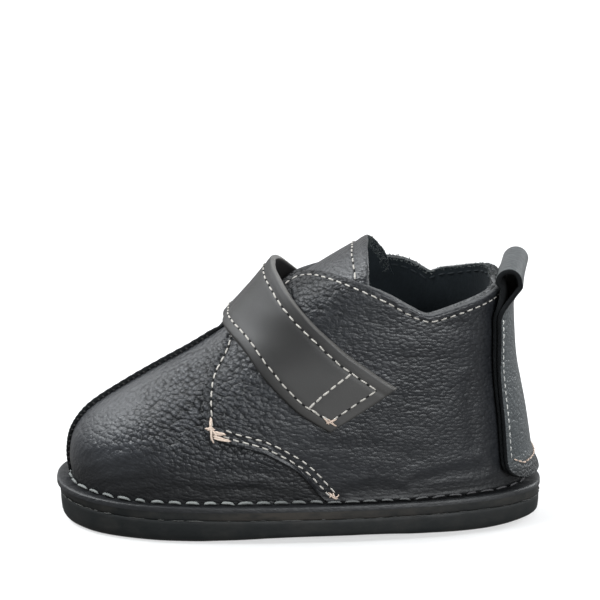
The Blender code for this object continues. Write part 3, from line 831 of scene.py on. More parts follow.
def quarter_out(low, top, front):
    """Distance of a quarter's outer face from the last, with its rounded edges and sewn troughs."""
    full = rounded(np.minimum(np.minimum(low, top), front), 0.8)
    sewn = sum(trough(low, at, 0.16) for at in LOWER_ROWS) + trough(top, TOP_ROW, 0.1, 0.6)
    sewn = sewn + trough(front, FRONT_ROW, 0.28, 0.7) * ramp(top, 0, 4.0)
    curl = 0.55 * ramp(front, FRONT_ROW, 0) + 0.3 * ramp(low, LOWER_ROWS[0], 0)
    return QUARTER_INSIDE + (QUARTER_OUT - QUARTER_INSIDE + curl) * full + sewn


def make_quarter(name, side, node_name):
    along, up = np.meshgrid(shares(150, 0.012), shares(96, 0.02))
    angle, height = quarter_patch(along, up, side)
    base = wall(angle, height, PLY_GAP)
    low, top, _, front = from_edges(base)
    out = quarter_out(low, top, front) + relief(base)
    # Painted shadow: the quarter is darkened just behind the strap's upper edge, where the strap shades it;
    # the grain is made coarser in the same place.
    strap_shadow = 0.8 * ramp(front, 26.0, 6.0) * ramp(top, 18.2, 4.2)
    grain = 1.2 * np.maximum(1.25 - front / 27.0, 0.4) * (0.6 + 0.4 * ramp(height, 18.0, 40.0))
    cut = np.maximum(ramp(top, 0.25, 0) * (0.4 if side < 0 else 0.2), 0.5 * ramp(front, 0.4, 0))
    piece = skin(
        name, wall(angle, height, out), wall(angle, height, QUARTER_INSIDE), [BLACK_LEATHER],
        marks={
            "grain": grain + 1.4 * strap_shadow,
            "cut": cut,
            "drawn": ramp(front, 1.8, 37.8),
            # Painted shade down by the sole, and the painted shadow of the strap.
            "grime": np.maximum(grime(height), strap_shadow),
        },
    )
    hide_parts(node_name)


make_quarter("quarter_inner_side", -1, "quarter_medial")
make_quarter("quarter_outer_side", 1, "quarter_lateral")

# %% [markdown]
# ## Tongue
# The tongue is a soft arched leaf behind the throat, its corners dropping away on both sides. It is the
# same hide as the upper, with suede on the back, and a narrow worked edge at the top.

# %% An arched leaf
TONGUE_THICK, TONGUE_FACE = 1.5, -(WALL_THICK + PLY_GAP)
TONGUE_FOOT_HEIGHT, TONGUE_FOOT_DEG, TONGUE_ROW = 47.0, 22.0, 3.9
TONGUE_EDGE = table(
    "angle_deg height",
    [
        (-82.0, 65.0), (-71.7, 69.2), (-57.1, 73.7), (-46.9, 75.7), (-34.3, 77.4), (-19.0, 78.5), (0.0, 79.1),
        (18.0, 78.7), (37.9, 77.4), (58.3, 74.9), (71.5, 72.3), (84.4, 68.8), (97.6, 62.5),
    ],
)


def tongue_patch(along, up):
    start, stop = TONGUE_EDGE["angle_deg"][[0, -1]]
    edge = start + (stop - start) * along
    top = smooth(TONGUE_EDGE, "angle_deg", "height", edge)
    foot = TONGUE_FOOT_DEG * (2 * along - 1)
    return np.radians(foot + (edge - foot) * up), TONGUE_FOOT_HEIGHT + (top - TONGUE_FOOT_HEIGHT) * up


along, up = np.meshgrid(shares(90, 0.02), shares(70, 0.03))
angle, height = tongue_patch(along, up)
base = wall(angle, height, TONGUE_FACE)
low, top, back, front = from_edges(base)
edge = np.minimum(np.minimum(top, back), front)
out = TONGUE_FACE - 0.4 * (1 - rounded(edge, 0.7)) + trough(top, 0.9 * TONGUE_ROW, 0.25, 0.8)
inside = TONGUE_FACE - TONGUE_THICK * (0.35 + 0.65 * ramp(edge, 0, 4.0))
tongue = skin(
    "tongue_leaf", wall(angle, height, out), wall(angle, height, inside), [BLACK_LEATHER, SUEDE_LINING],
    marks={"grain": 0.7, "drawn": 0.8, "cut": 0.3 * ramp(edge, 0.6, 0)},
)
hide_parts("tongue")

# %% [markdown]
# ## Strap
# The strap bridges the instep and is sewn down on the side. It is a flat ribbon of smooth leather whose
# two edges follow a short table of places on the last; it stands off at the crest, where a dark hollow
# shows below it. Its cut edge is buffed paler than its face.

# %% A ribbon between two edges
STRAP_THICK, STRAP_SINK, STRAP_DROOP, STRAP_DROOP_WIDTH = 1.6, 0.3, 0.4, 3.6
STRAP_LOWER_ROW, STRAP_UPPER_ROW = 2.9, 3.3
STRAP_END_ROWS = ((3.7, 2.6), (12.4, 9.6))
STRAP_STATIONS = table(
    "station lower_deg lower_height lower_off upper_deg upper_height upper_off",
    [
        (0, 0.0, 54.0, -1.1, 0.0, 66.8, 3.5), (1, 17.0, 53.4, -0.2, 13.0, 66.4, 3.2),
        (2, 34.0, 52.0, 0.0, 27.0, 65.6, 2.6), (3, 49.0, 49.4, 0.0, 41.0, 63.8, 1.6),
        (4, 67.0, 44.0, 0.0, 55.0, 61.0, 0.7), (5, 78.0, 39.7, 0.0, 69.5, 57.0, 0.2),
        (6, 86.0, 36.0, 0.0, 85.0, 51.9, 0.0), (7, 92.3, 33.3, 0.0, 98.4, 47.4, 0.0),
        (8, 98.0, 30.8, 0.0, 111.4, 42.4, 0.0),
    ],
)


def strap_patch(along, up):
    across = 2 * along - 1
    station = np.abs(across) * STRAP_STATIONS["station"][-1]
    at = {name: smooth(STRAP_STATIONS, "station", name, station) for name in STRAP_STATIONS.dtype.names}
    angle = np.radians(at["lower_deg"] + (at["upper_deg"] - at["lower_deg"]) * up)
    height = at["lower_height"] + (at["upper_height"] - at["lower_height"]) * up
    off = at["lower_off"] * (1 - up) ** 2 + at["upper_off"] * up**2
    return np.sign(across) * angle, height, OVERLAY_SEAT + off


def strap_out(low, top, end):
    full = rounded(np.minimum(np.minimum(low, end), top), 0.55)
    droop = STRAP_DROOP * ramp(low, STRAP_DROOP_WIDTH, 0) ** 2
    sewn = trough(low, STRAP_LOWER_ROW, 0.06, 0.7) + trough(top, STRAP_UPPER_ROW, 0.12, 0.7)
    return (STRAP_THICK - droop) * full + sewn


along, up = np.meshgrid(shares(240, 0.012), shares(44, 0.06))
angle, height, seat_out = strap_patch(along, up)
base = wall(angle, height, seat_out)
low, top, back, front = from_edges(base)
end = np.minimum(back, front)
out = strap_out(low, top, end)
under = seat_out - STRAP_SINK * ramp(seat_out, OVERLAY_SEAT + STRAP_SINK, OVERLAY_SEAT)
cut = np.maximum(ramp(top, 0.64, 0.24), 0.2 * ramp(np.minimum(low, end), 0.4, 0))
strap = skin(
    "instep_strap", wall(angle, height, seat_out + out), wall(angle, height, under), [STRAP_LEATHER],
    # The face grows paler towards the strap's sewn ends: partly the leather's own browner tone, partly
    # painted highlight.
    marks={"cut": np.maximum(cut, 0.26 * ramp(end, 24.0, 8.0))},
)
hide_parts("strap")

# %% [markdown]
# ## Heel strip with its pull loop
# One long strip is folded double: it runs up the back seam, round the pull loop and down again over
# itself, then is sewn down the sides. The path is drawn in section, and the strip is swept along it. Its
# edges are raw and dark.

# %% The folded path
STRIP_PLY, STRIP_PLY_GAP, STRIP_SEAT = 1.3, 0.2, 0.15
STRIP_HALF_WIDTH, STRIP_FOOT_HEIGHT, STRIP_CORNER = 11.9, 12.6, 5.0
STRIP_FLARE, STRIP_FLARE_HEIGHT, STRIP_ROW_START = 1.2, 20.0, 0.66
LOOP_NECK_HEIGHT, LOOP_CENTRE_HEIGHT = 62.6, 68.2
LOOP_RADIUS, LOOP_OUT, LOOP_HALF_WIDTH, LOOP_SKEW = 2.9, 4.6, 12.8, 1.8
LOOP_START, LOOP_STOP, LOOP_FROM_DEG, LOOP_TURN_DEG = 0.36, 0.64, 222.0, 264.0


def strip_path(share):
    """Distance out from the upper, and height: up the inner ply, round the loop, down the outer ply."""
    inner = OVERLAY_SEAT + STRIP_SEAT + STRIP_PLY / 2
    outer = inner + STRIP_PLY + STRIP_PLY_GAP
    rising = ramp(share, 0, LOOP_START) ** 1.5
    falling = 1 - (1 - ramp(share, LOOP_STOP, 1)) ** 1.5
    bearing = np.radians(LOOP_FROM_DEG - LOOP_TURN_DEG * ramp(share, LOOP_START, LOOP_STOP))
    out = LOOP_OUT + LOOP_RADIUS * np.cos(bearing)
    height = LOOP_CENTRE_HEIGHT + LOOP_RADIUS * np.sin(bearing)
    run = LOOP_NECK_HEIGHT - STRIP_FOOT_HEIGHT
    out = np.where(rising < 1, inner, np.where(falling > 0, outer, out))
    height = np.where(rising < 1, STRIP_FOOT_HEIGHT + run * rising, height)
    height = np.where(falling > 0, LOOP_NECK_HEIGHT - run * falling, height)
    return out + STRIP_FLARE * ramp(height, STRIP_FLARE_HEIGHT, STRIP_FOOT_HEIGHT) ** 1.5, height


def strip_point(across, out, height):
    corner = ramp(height, STRIP_FOOT_HEIGHT + STRIP_CORNER, STRIP_FOOT_HEIGHT)
    half_width = STRIP_HALF_WIDTH - STRIP_CORNER * (1 - np.sqrt(1 - corner**2))
    body_height = np.minimum(height, LOOP_CENTRE_HEIGHT)
    breadth = smooth(UPPER_LEVELS, "height", "half_width", body_height)
    breadth = breadth * (1 - smooth(UPPER_LEVELS, "height", "taper", body_height))
    angle = np.pi - across * half_width / breadth
    around = wall(angle, body_height, out)
    centre = wall(np.full_like(angle, np.pi), body_height, out)
    skew = LOOP_SKEW * across * ramp(height, 65.0, 68.0)
    straight = centre + np.stack([skew, LOOP_HALF_WIDTH * across, 0 * across], axis=-1)
    points = around + (straight - around) * ramp(height, 59.0, 67.0)[..., None]
    points[..., 2] += height - body_height
    return points


print("top of the loop:", strip_path(np.array(0.5))[1].round(1), "mm")

# %% Sweep the strip
along, up = np.meshgrid(np.linspace(0, 1, 360), shares(40, 0.05))
out, height = strip_path(along)
middle = strip_point(2 * up - 1, out, height)
for _ in range(6):
    middle[:, 1:-1] = 0.5 * middle[:, 1:-1] + 0.25 * (middle[:, :-2] + middle[:, 2:])
low, top, back, front = from_edges(middle)
side_edge = np.minimum(low, top)
half = STRIP_PLY / 2 * rounded(np.minimum(side_edge, np.minimum(back, front)), 0.6)
normal = grid_normals(middle)
normal = normal * np.sign(normal[20, -10, 0])
dip = trough(side_edge, 1.0, 0.1, 0.5) * (along > STRIP_ROW_START)
strip = skin(
    "heel_strip_with_loop", middle + normal * (half + dip)[..., None], middle - normal * half[..., None],
    [STRIP_LEATHER, RAW_LEATHER, RAW_LEATHER], raw=side_edge < 0.8,
    # Painted shade: the strip darkens towards its foot by the sole.
    marks={"grain": 0.85, "drawn": 0.85, "grime": 0.85 * ramp(height, 18.5, 15.0)},
)
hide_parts("heel_strip")

# %% [markdown]
# ## Toe seam
# The two halves of the vamp meet in a raised seam down the middle of the toe: two raw edges stand up side
# by side and are whipped together. A narrow ribbon with a groove along its crown makes it.

# %% A ridge with two lips
SEAM_HALF_WIDTH, SEAM_HEIGHT = 0.85, 0.75
SEAM_FOOT_HEIGHT, SEAM_TOP_HEIGHT, SEAM_RUN_OUT, SEAM_RIPPLES = 11.3, 54.0, 3.0, 34


def seam_angle(across, height):
    return across * SEAM_HALF_WIDTH / smooth(UPPER_LEVELS, "height", "half_width", height)


along, up = np.meshgrid(np.linspace(0, 1, 260), np.linspace(-1, 1, 25))
height = SEAM_FOOT_HEIGHT + (SEAM_TOP_HEIGHT - SEAM_FOOT_HEIGHT) * along
lips = 0.3 + 0.7 * np.sqrt(np.clip(1 - np.abs(up) ** 3, 0, 1)) - 0.5 * np.exp(-((up / 0.16) ** 2))
ripple = 0.06 * np.sin(2 * np.pi * along * SEAM_RIPPLES) * np.sign(up)
run_out = 0.35 + 0.65 * ramp(height, SEAM_TOP_HEIGHT, SEAM_TOP_HEIGHT - SEAM_RUN_OUT)
ridge = (PLY_GAP * lips + SEAM_HEIGHT * (lips + ripple)) * run_out
angle = seam_angle(up, height)
seam = skin("toe_seam_ridge", wall(angle, height, ridge), wall(angle, height, 0.02), [RAW_LEATHER])
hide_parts("toe_seam")

# %% [markdown]
# ## Threads
# Every stitch is a short length of thread that comes out of one hole and goes down the next, so it is a
# thin tube with a bowed middle and sunken ends. A row is walked along a line on its piece at an even
# pitch, with a small unevenness from a seeded die, and the tubes of a row are joined into one mesh.


# %% Tubes and rows of stitches
def tubes(name, paths, normals, radii, look, sides=7):
    """Closed tubes along many short paths of equal point count."""
    count, steps = paths.shape[:2]
    tangent = np.gradient(paths, axis=1)
    tangent /= np.linalg.norm(tangent, axis=-1, keepdims=True)
    beside = np.cross(tangent, normals)
    beside /= np.linalg.norm(beside, axis=-1, keepdims=True)
    over = np.cross(beside, tangent)
    turn = np.linspace(0, 2 * np.pi, sides, endpoint=False)
    ring = beside[:, :, None] * np.cos(turn)[:, None] + over[:, :, None] * np.sin(turn)[:, None]
    points = paths[:, :, None] + ring * np.broadcast_to(radii, (count, steps))[:, :, None, None]
    index = np.arange(count * steps * sides).reshape(count, steps, sides)
    following = np.roll(index, -1, axis=2)
    quads = np.stack([index[:, :-1], following[:, :-1], following[:, 1:], index[:, 1:]], axis=-1)
    faces = quads.reshape(-1, 4).tolist() + index[:, 0, ::-1].tolist() + index[:, -1].tolist()
    mesh = bpy.data.meshes.new(name)
    mesh.from_pydata((points.reshape(-1, 3) * MM).tolist(), [], faces)
    return seat(name, mesh, [look], sharp=80.0)


def resample(path, *fields, at):
    """A path and its fields at distances along it."""
    length = np.concatenate([[0], np.cumsum(np.linalg.norm(np.diff(path, axis=0), axis=1))])
    return [np.stack([np.interp(at, length, f[:, i]) for i in range(3)], axis=-1) for f in (path, *fields)]


def path_length(path):
    return np.linalg.norm(np.diff(path, axis=0), axis=1).sum()


STITCH_STEPS = np.linspace(-1, 1, 9)
STITCH_SHARE = (STITCH_STEPS + 1) / 2
STITCH_TAPER = np.sqrt(np.maximum(1 - STITCH_STEPS**4, 0.02))
LENGTH_SPREAD, LEAN_SPREAD = 0.08, 0.06
HOLE_OVERLAP, HOLE_RADIUS, HOLE_LIFT, HOLE_SINK = 0.15, 0.27, 0.35, 0.6


def row_of_stitches(path, normal, pitch, length, radius, lift=0.55, sink=0.5, start=0.5):
    """Bowed paths and radii of an even row along a path."""
    count = max(int(path_length(path) / pitch), 1)
    centre = (np.arange(count) + start) * path_length(path) / count
    spans = length * (1 + LENGTH_SPREAD * dice.standard_normal(count))
    at = centre[:, None] + STITCH_STEPS * spans[:, None] / 2
    places, normals = resample(path, normal, at=at.ravel())
    places, normals = places.reshape(count, -1, 3), normals.reshape(count, -1, 3)
    normals /= np.linalg.norm(normals, axis=-1, keepdims=True)
    bow = radius * (lift - (lift + sink) * np.abs(STITCH_STEPS) ** 3)
    beside = np.cross(np.gradient(places, axis=1), normals)
    beside /= np.linalg.norm(beside, axis=-1, keepdims=True)
    lean = dice.normal(0, LEAN_SPREAD, count)[:, None] * STITCH_STEPS * length / 2
    paths = places + normals * bow[:, None] + beside * lean[..., None]
    return paths, normals, np.broadcast_to(radius * STITCH_TAPER, paths.shape[:2])


def sew(name, rows, look):
    paths, normals, radii = (np.concatenate(part) for part in zip(*rows))
    return tubes(name, paths, normals, radii, look)


# Dark tubes in the needle holes are painted shade.
needle_hole_shade = []


def sewn_row(line, pitch, length, radius):
    """A row of stitches, with a dark tube between them as painted shade in the needle hole that both threads
    share.
    """
    hole = pitch - length + HOLE_OVERLAP, HOLE_RADIUS, HOLE_LIFT, HOLE_SINK
    needle_hole_shade.append(row_of_stitches(*line, pitch, *hole, start=1.0))
    return row_of_stitches(*line, pitch, length, radius)


print("a stitch has", len(STITCH_STEPS), "rings")

# %% [markdown]
# ## Rows on the quarters and the top line
# One row runs up the front edge, round the corner and on below the top line; a double row follows the
# lower edge down to the sole. A sewer guides the edge along a foot at a fixed distance, so each row is the
# edge itself, moved inward and laid back on the leather.


# %% Lines beside the edges of a quarter
FRONT_STITCH, LOWER_STITCH = (2.55, 2.0, 0.225), (2.6, 1.95, 0.225)  # pitch, length, radius
FRONT_STEPS, TOP_STEPS, LOWER_STEPS, FINE_STEPS = 240, 420, 300, 2881
FRONT_START, TOP_STOP, LOWER_START, LOWER_STOP, LOWER_STOP_X = 0.07, 0.03, 0.978, 0.4, 7.3


def lay(points, side, out):
    """Points moved onto the last at their own height, at a distance out from it, and the normals there."""
    height, turn = points[:, 2], side * np.linspace(0, np.pi, FINE_STEPS)
    levels = (on_last(turn, np.full_like(turn, z))[:, :2] for z in height)
    away = [np.sum((level - point) ** 2, axis=1) for level, point in zip(levels, points[:, :2])]
    angle = turn[np.argmin(away, axis=1)]
    return wall(angle, height, out + relief(wall(angle, height))), outward(angle, height)


def beside_edge(side, along, up, inset):
    """A line at a distance inside an edge of a quarter, given as shares along and up."""
    angle, height = quarter_patch(along, up, side)
    edge = wall(angle, height)
    inward = np.cross(outward(angle, height), np.gradient(edge, axis=0)) * side
    line = edge + inset * inward / np.linalg.norm(inward, axis=-1, keepdims=True)
    for _ in range(60):
        line[1:-1] = 0.5 * line[1:-1] + 0.25 * (line[:-2] + line[2:])
    return line


cream_rows, lower_lines = [], {}
for side in SIDES:
    along = np.concatenate([np.ones(FRONT_STEPS), np.linspace(1, TOP_STOP, TOP_STEPS)[1:]])
    up = np.concatenate([np.linspace(FRONT_START, 1, FRONT_STEPS), np.ones(TOP_STEPS - 1)])
    inset = np.interp(np.arange(len(up)), [FRONT_STEPS, FRONT_STEPS + 60], [FRONT_ROW, TOP_ROW])
    line = beside_edge(side, along, up, inset[:, None])
    cream_rows.append(sewn_row(lay(line, side, QUARTER_OUT - 0.24), *FRONT_STITCH))
    lower_lines[side] = []
    for inset in LOWER_ROWS:
        along = np.linspace(LOWER_START, LOWER_STOP, LOWER_STEPS)
        along = along[on_last(*quarter_patch(along, np.zeros_like(along), side))[:, 0] < LOWER_STOP_X]
        line = beside_edge(side, along, np.zeros_like(along), -inset)
        line = line[line[:, 2] > CREASE_HEIGHT + 0.8]
        lower_lines[side].append(lay(line, side, QUARTER_OUT - 0.16))
        cream_rows.append(sewn_row(lower_lines[side][-1], *LOWER_STITCH))
sew("quarter_stitches", cream_rows, CREAM_THREAD)

# %% Back of the top row, on the lining
LINING_STITCH = 2.8, 2.0, 0.24
lining_rows = []
for side in SIDES:
    angle = side * np.linspace(0.5, np.pi - 0.1, 200)
    height = collar_height(angle) - TOP_ROW
    line = wall(angle, height, -WALL_THICK), -outward(angle, height)
    lining_rows.append(row_of_stitches(*line, *LINING_STITCH))
sew("lining_stitches", lining_rows, LINING_THREAD)

# %% [markdown]
# ## Fuzz on the raw edge of the lining
# The suede lining is cut raw along the top line and sheds short fibres there, mostly on the outer side.
# A particle system could grow them, but some thousand short three-sided threads are lighter to keep.

# %% Short fibres along the top line
COLLAR_FIBRES, TONGUE_FIBRES, OUTER_SHARE = 4200, 1400, 0.94
TONGUE_REACH, FIBRE_BEND, FIBRE_RISE = 55.0, 0.12, (0.0, 0.0, 0.16)
FIBRE_RADII, FIBRE_SIDE = 0.17 * np.array([1.0, 0.95, 0.8, 0.5]), (0.31, 0.83, 0.46)

angle = np.where(dice.random(COLLAR_FIBRES) < OUTER_SHARE, 1, -1) * dice.uniform(0.35, np.pi, COLLAR_FIBRES)
height = collar_height(angle) - dice.uniform(-0.1, 0.8, COLLAR_FIBRES)
collar_roots = wall(angle, height, dice.uniform(-1.6, 0.9, COLLAR_FIBRES))
inset = dice.uniform(0.0, 2.6, TONGUE_FIBRES)
angle, height = tongue_patch(dice.uniform(0.02, 0.98, TONGUE_FIBRES), 1 - inset / TONGUE_REACH)
tongue_roots = wall(angle, height, TONGUE_FACE - TONGUE_THICK * (0.35 + 0.16 * inset))
roots = np.concatenate([collar_roots, tongue_roots])
reach = dice.normal(0, FIBRE_BEND, roots.shape) + FIBRE_RISE * dice.random((len(roots), 1))
fibres = roots[:, None] + reach[:, None] * np.linspace(0, 1, len(FIBRE_RADII))[:, None]
tubes("lining_fuzz", fibres, np.broadcast_to(FIBRE_SIDE, fibres.shape), FIBRE_RADII, RAISED_NAP, sides=3)

# %% [markdown]
# ## Rows on the strap, the tongue and the heel strip
# Two rows run along the strap, a box holds its end, and a row crosses the tongue below its edge. The heel
# strip has a finer row near its edge and across its foot.


# %% Strap rows and its box
STRAP_STITCH, DOUBLED_STITCH, DOUBLED_BESIDE = (2.8, 2.2, 0.24), (2.4, 2.3, 0.3), 0.15


def strap_line(along, up):
    angle, height, seat_out = strap_patch(along, up)
    return wall(angle, height, seat_out + STRAP_THICK - 0.12), outward(angle, height)


def strap_up(along, inset, from_top=False):
    """Share up the strap at a distance from one of its edges."""
    low, top = (strap_line(along, np.full_like(along, up))[0] for up in (0.0, 1.0))
    share = inset / np.linalg.norm(top - low, axis=-1)
    return 1 - share if from_top else share


strap_rows, box_corners = [], {}
run = path_length(strap_line(np.linspace(0, 0.5, 80), np.full(80, 0.5))[0]) * 2
(end_low, end_top), (start_low, start_top) = np.array(STRAP_END_ROWS) / run
low_run, top_run = np.linspace(end_low, 0.5, 200), np.linspace(end_top, 0.5, 200)
lines = [(low_run, strap_up(low_run, STRAP_LOWER_ROW)), (top_run, strap_up(top_run, STRAP_UPPER_ROW, True))]
cross = np.linspace(0, 1, 60)
for low_at, top_at in ((end_low, end_top), (start_low, start_top)):
    flat = low_at + (top_at - low_at) * cross
    lower, upper = strap_up(flat, STRAP_LOWER_ROW), strap_up(flat, STRAP_UPPER_ROW, True)
    lines.append((flat, lower + (upper - lower) * cross))
again = np.linspace(end_low, start_low, 40)
lines.append((again, strap_up(again, STRAP_LOWER_ROW + DOUBLED_BESIDE)))
for side in SIDES:
    laid = [strap_line(along if side < 0 else 1 - along, up) for along, up in lines]
    strap_rows += [sewn_row(line, *STRAP_STITCH) for line in laid[:3]]
    strap_rows += [row_of_stitches(*line, *DOUBLED_STITCH) for line in laid[3:]]
    box_corners[side] = [part[0] for part in laid[2]]
sew("strap_stitches", strap_rows, CREAM_THREAD)

# %% Tongue row and heel strip rows
TONGUE_STITCH, STRIP_STITCH, STRIP_FOOT_STITCH = (2.9, 2.2, 0.24), (1.9, 1.35, 0.2), (1.9, 1.5, 0.22)
STRIP_ROW_STOP, FOOT_ROW_SHARE, FOOT_ROW_RISE = 0.905, 0.927, 0.023


def strip_line(across, share, lift):
    out, height = strip_path(share)
    face = strip_point(across, out + STRIP_PLY / 2 + lift, height)
    return face, face - strip_point(across, out - 1.0, height)


along = np.linspace(0.06, 0.94, 160)
edge, foot = (wall(*tongue_patch(along, np.full_like(along, up)), TONGUE_FACE) for up in (1.0, 0.0))
angle, height = tongue_patch(along, 1 - TONGUE_ROW / np.linalg.norm(edge - foot, axis=-1))
line = wall(angle, height, TONGUE_FACE - 0.2), outward(angle, height)
sew("tongue_stitches", [sewn_row(line, *TONGUE_STITCH)], CREAM_THREAD)

share = np.linspace(STRIP_ROW_START, STRIP_ROW_STOP, 200)
lines = [strip_line(np.full_like(share, side * 0.92), share, -0.1) for side in SIDES]
sew("heel_strip_stitches", [row_of_stitches(*line, *STRIP_STITCH) for line in lines], GREY_THREAD)
across = np.linspace(-0.9, 0.9, 120)
line = strip_line(across, FOOT_ROW_SHARE - FOOT_ROW_RISE * ramp(np.abs(across), 0.72, 0.92), 0.12)
sew("heel_strip_foot_row", [row_of_stitches(*line, *STRIP_FOOT_STITCH)], TACK_THREAD)

# %% [markdown]
# ## Bar tacks and thread ends
# Where rows meet, the machine sews back and forth and leaves a lumpy tack with short loose ends: at the
# quarter's front corner, at the foot of the double row and at the strap's box. Each strand is listed in
# millimetres forward and up from the tack's middle, and is bent a little by the die.


# %% Strands in the plane of a tack
FORWARD, STRAND_BEND = np.array([-1.0, 0.0, 0.0]), 0.12


def tack(middle, normal, strands, radius):
    """Strands from start to stop, each with a lift in its middle and a drop at its end."""
    normal = normal / np.linalg.norm(normal)
    forward = FORWARD - normal * np.dot(FORWARD, normal)
    forward = forward / np.linalg.norm(forward)
    upward = np.cross(forward, normal)
    upward *= np.sign(upward[2])
    share, bow = STITCH_SHARE, np.sin(np.pi * STITCH_SHARE)
    made = []
    for start_on, start_up, stop_on, stop_up, lift, drop in strands:
        on = start_on + (stop_on - start_on) * share + dice.normal(0, STRAND_BEND) * bow
        up = start_up + (stop_up - start_up) * share + dice.normal(0, STRAND_BEND) * bow
        out = lift * np.sin(np.pi * (0.1 + 0.8 * share)) - drop * share**2
        made.append(middle + forward * on[:, None] + upward * up[:, None] + normal * out[:, None])
    made = np.array(made)
    return made, np.broadcast_to(normal, made.shape), np.broadcast_to(radius * STITCH_TAPER, made.shape[:2])


CORNER_TACK = [
    (0.2, 3.2, 0.0, 0.4, 0.3, 0.0), (0.05, 3.0, 0.15, 0.2, 0.4, 0.0),
    (0.3, 2.7, 0.2, -0.2, 0.4, 0.0), (0.0, 2.0, 0.0, -0.8, 0.45, 0.0),
    (0.25, 1.6, 0.2, -1.2, 0.45, 0.0), (0.05, 1.0, 0.0, -2.2, 0.5, 0.0),
    (0.2, 0.4, 0.15, -2.6, 0.5, 0.0), (0.0, -0.6, 0.1, -3.0, 0.45, 0.3),
    (0.0, -1.4, -0.6, -3.8, 0.4, 0.8), (-0.8, 0.1, 1.8, 0.15, 0.5, 0.2),
    (-1.0, -0.1, 1.4, -0.05, 0.5, 0.1), (-0.6, 0.3, 1.0, 0.3, 0.5, 0.0),
    (-0.3, -0.5, -3.2, -1.0, 0.4, 0.0), (-0.4, -0.7, -3.6, -1.3, 0.45, 0.0),
    (-0.6, -0.9, -3.9, -1.5, 0.45, 0.0), (-1.0, -0.5, -3.7, -1.2, 0.4, 0.0),
    (-0.2, -1.1, -3.0, -1.6, 0.4, 0.0), (-0.2, -1.7, -3.6, -2.6, 0.4, 0.0),
    (-0.4, -2.0, -4.6, -2.9, 0.45, 0.0), (-0.8, -2.2, -5.2, -3.2, 0.45, 0.0),
    (-1.6, -2.1, -5.0, -2.9, 0.4, 0.0), (-0.3, -2.3, -4.0, -3.2, 0.4, 0.0),
    (-0.2, -0.2, -1.4, -1.9, 0.5, 0.0),
]
FOOT_TACK = [
    (1.4, 1.0, -0.6, -0.5, 0.5, 0.0), (1.0, 0.3, -1.2, -0.8, 0.55, 0.0),
    (0.2, 0.9, -0.5, -1.1, 0.55, 0.0), (-0.4, -0.3, -1.4, 0.4, 0.6, 0.0),
    (0.4, 0.5, 1.2, -0.5, 0.55, 0.0), (0.6, -0.2, -0.9, -1.0, 0.5, 0.0),
]
BOX_TACK = [
    (0.9, 0.9, -0.9, -0.5, 0.45, 0.0), (1.8, 1.3, 0.2, -0.1, 0.45, 0.0),
    (0.5, 0.1, -1.3, -0.9, 0.5, 0.0), (0.3, -0.3, -1.0, 0.7, 0.5, 0.0),
    (0.8, -0.2, -0.5, 0.6, 0.5, 0.0), (-0.4, -0.2, -1.7, -1.1, 0.5, 0.1),
    (1.2, 0.6, 0.3, -0.6, 0.5, 0.0), (1.2, -0.5, -1.8, 0.8, 0.5, 0.0),
]
print("strands listed:", len(CORNER_TACK) + len(FOOT_TACK) + len(BOX_TACK))

# %% Tacks on both sides
CORNER_TACK_X, CORNER_TACK_HEIGHT = np.array([-22.9]), np.array([31.4])
CORNER_TACK_RADIUS, TACK_RADIUS = 0.25, 0.2
tacks = []
for side in SIDES:
    place = side * angle_at(CORNER_TACK_X, CORNER_TACK_HEIGHT), CORNER_TACK_HEIGHT
    tacks.append(tack(wall(*place, QUARTER_OUT)[0], outward(*place)[0], CORNER_TACK, CORNER_TACK_RADIUS))
    (first, normals), (second, _) = lower_lines[side]
    tacks.append(tack((first[-1] + second[-1]) / 2, normals[-1], FOOT_TACK, TACK_RADIUS))
    tacks.append(tack(*box_corners[side], BOX_TACK, TACK_RADIUS))
sew("bar_tacks", tacks, TACK_THREAD)
# Painted shade: dark tubes stand for the shade inside the needle holes.
sew("needle_hole_shade", needle_hole_shade, BLACK_THREAD_AND_HOLE_SHADE)

# %% [markdown]
# ## Sole stitches and the toe seam's whipping
# A thick waxed thread is sewn down through the flange, in the angle between the upper and the sole, with
# long stitches. The toe seam is whipped with a black thread over its lip.

# %% Stitches round the flange
SOLE_STITCH_OUT, SOLE_STITCH_LENGTH, QUARTER_FOOT_X = 0.62, 3.6, 7.0
VAMP_RUN, QUARTER_RUN = (0.38, 0.0), (0.27, 1.3)  # radius of the thread, distance farther out
UPWARD = np.array([0.0, 0.0, 1.0])
turn = float(angle_at(np.array([QUARTER_FOOT_X]), np.array([CREASE_HEIGHT]))[0])
sole_rows = []
runs = ((-np.pi, -turn, QUARTER_RUN), (-turn, turn, VAMP_RUN), (turn, np.pi, QUARTER_RUN))
for start, stop, (radius, farther) in runs:
    angle = np.linspace(start, stop, 500)
    foot = wall(angle, CREASE_HEIGHT, SOLE_STITCH_OUT + farther)
    foot[:, 2] = CREASE_HEIGHT + toe_spring(foot[:, 0]) + SOLE_STITCH_OUT + 0.15 * farther
    lean_out = outward(angle, np.full_like(angle, CREASE_HEIGHT)) * 0.5 + UPWARD
    sole_rows.append(row_of_stitches(foot, lean_out, SOLE_STITCH_PITCH, SOLE_STITCH_LENGTH, radius, 0.6, 0.9))
sew("sole_stitches", sole_rows, SOLE_THREAD)

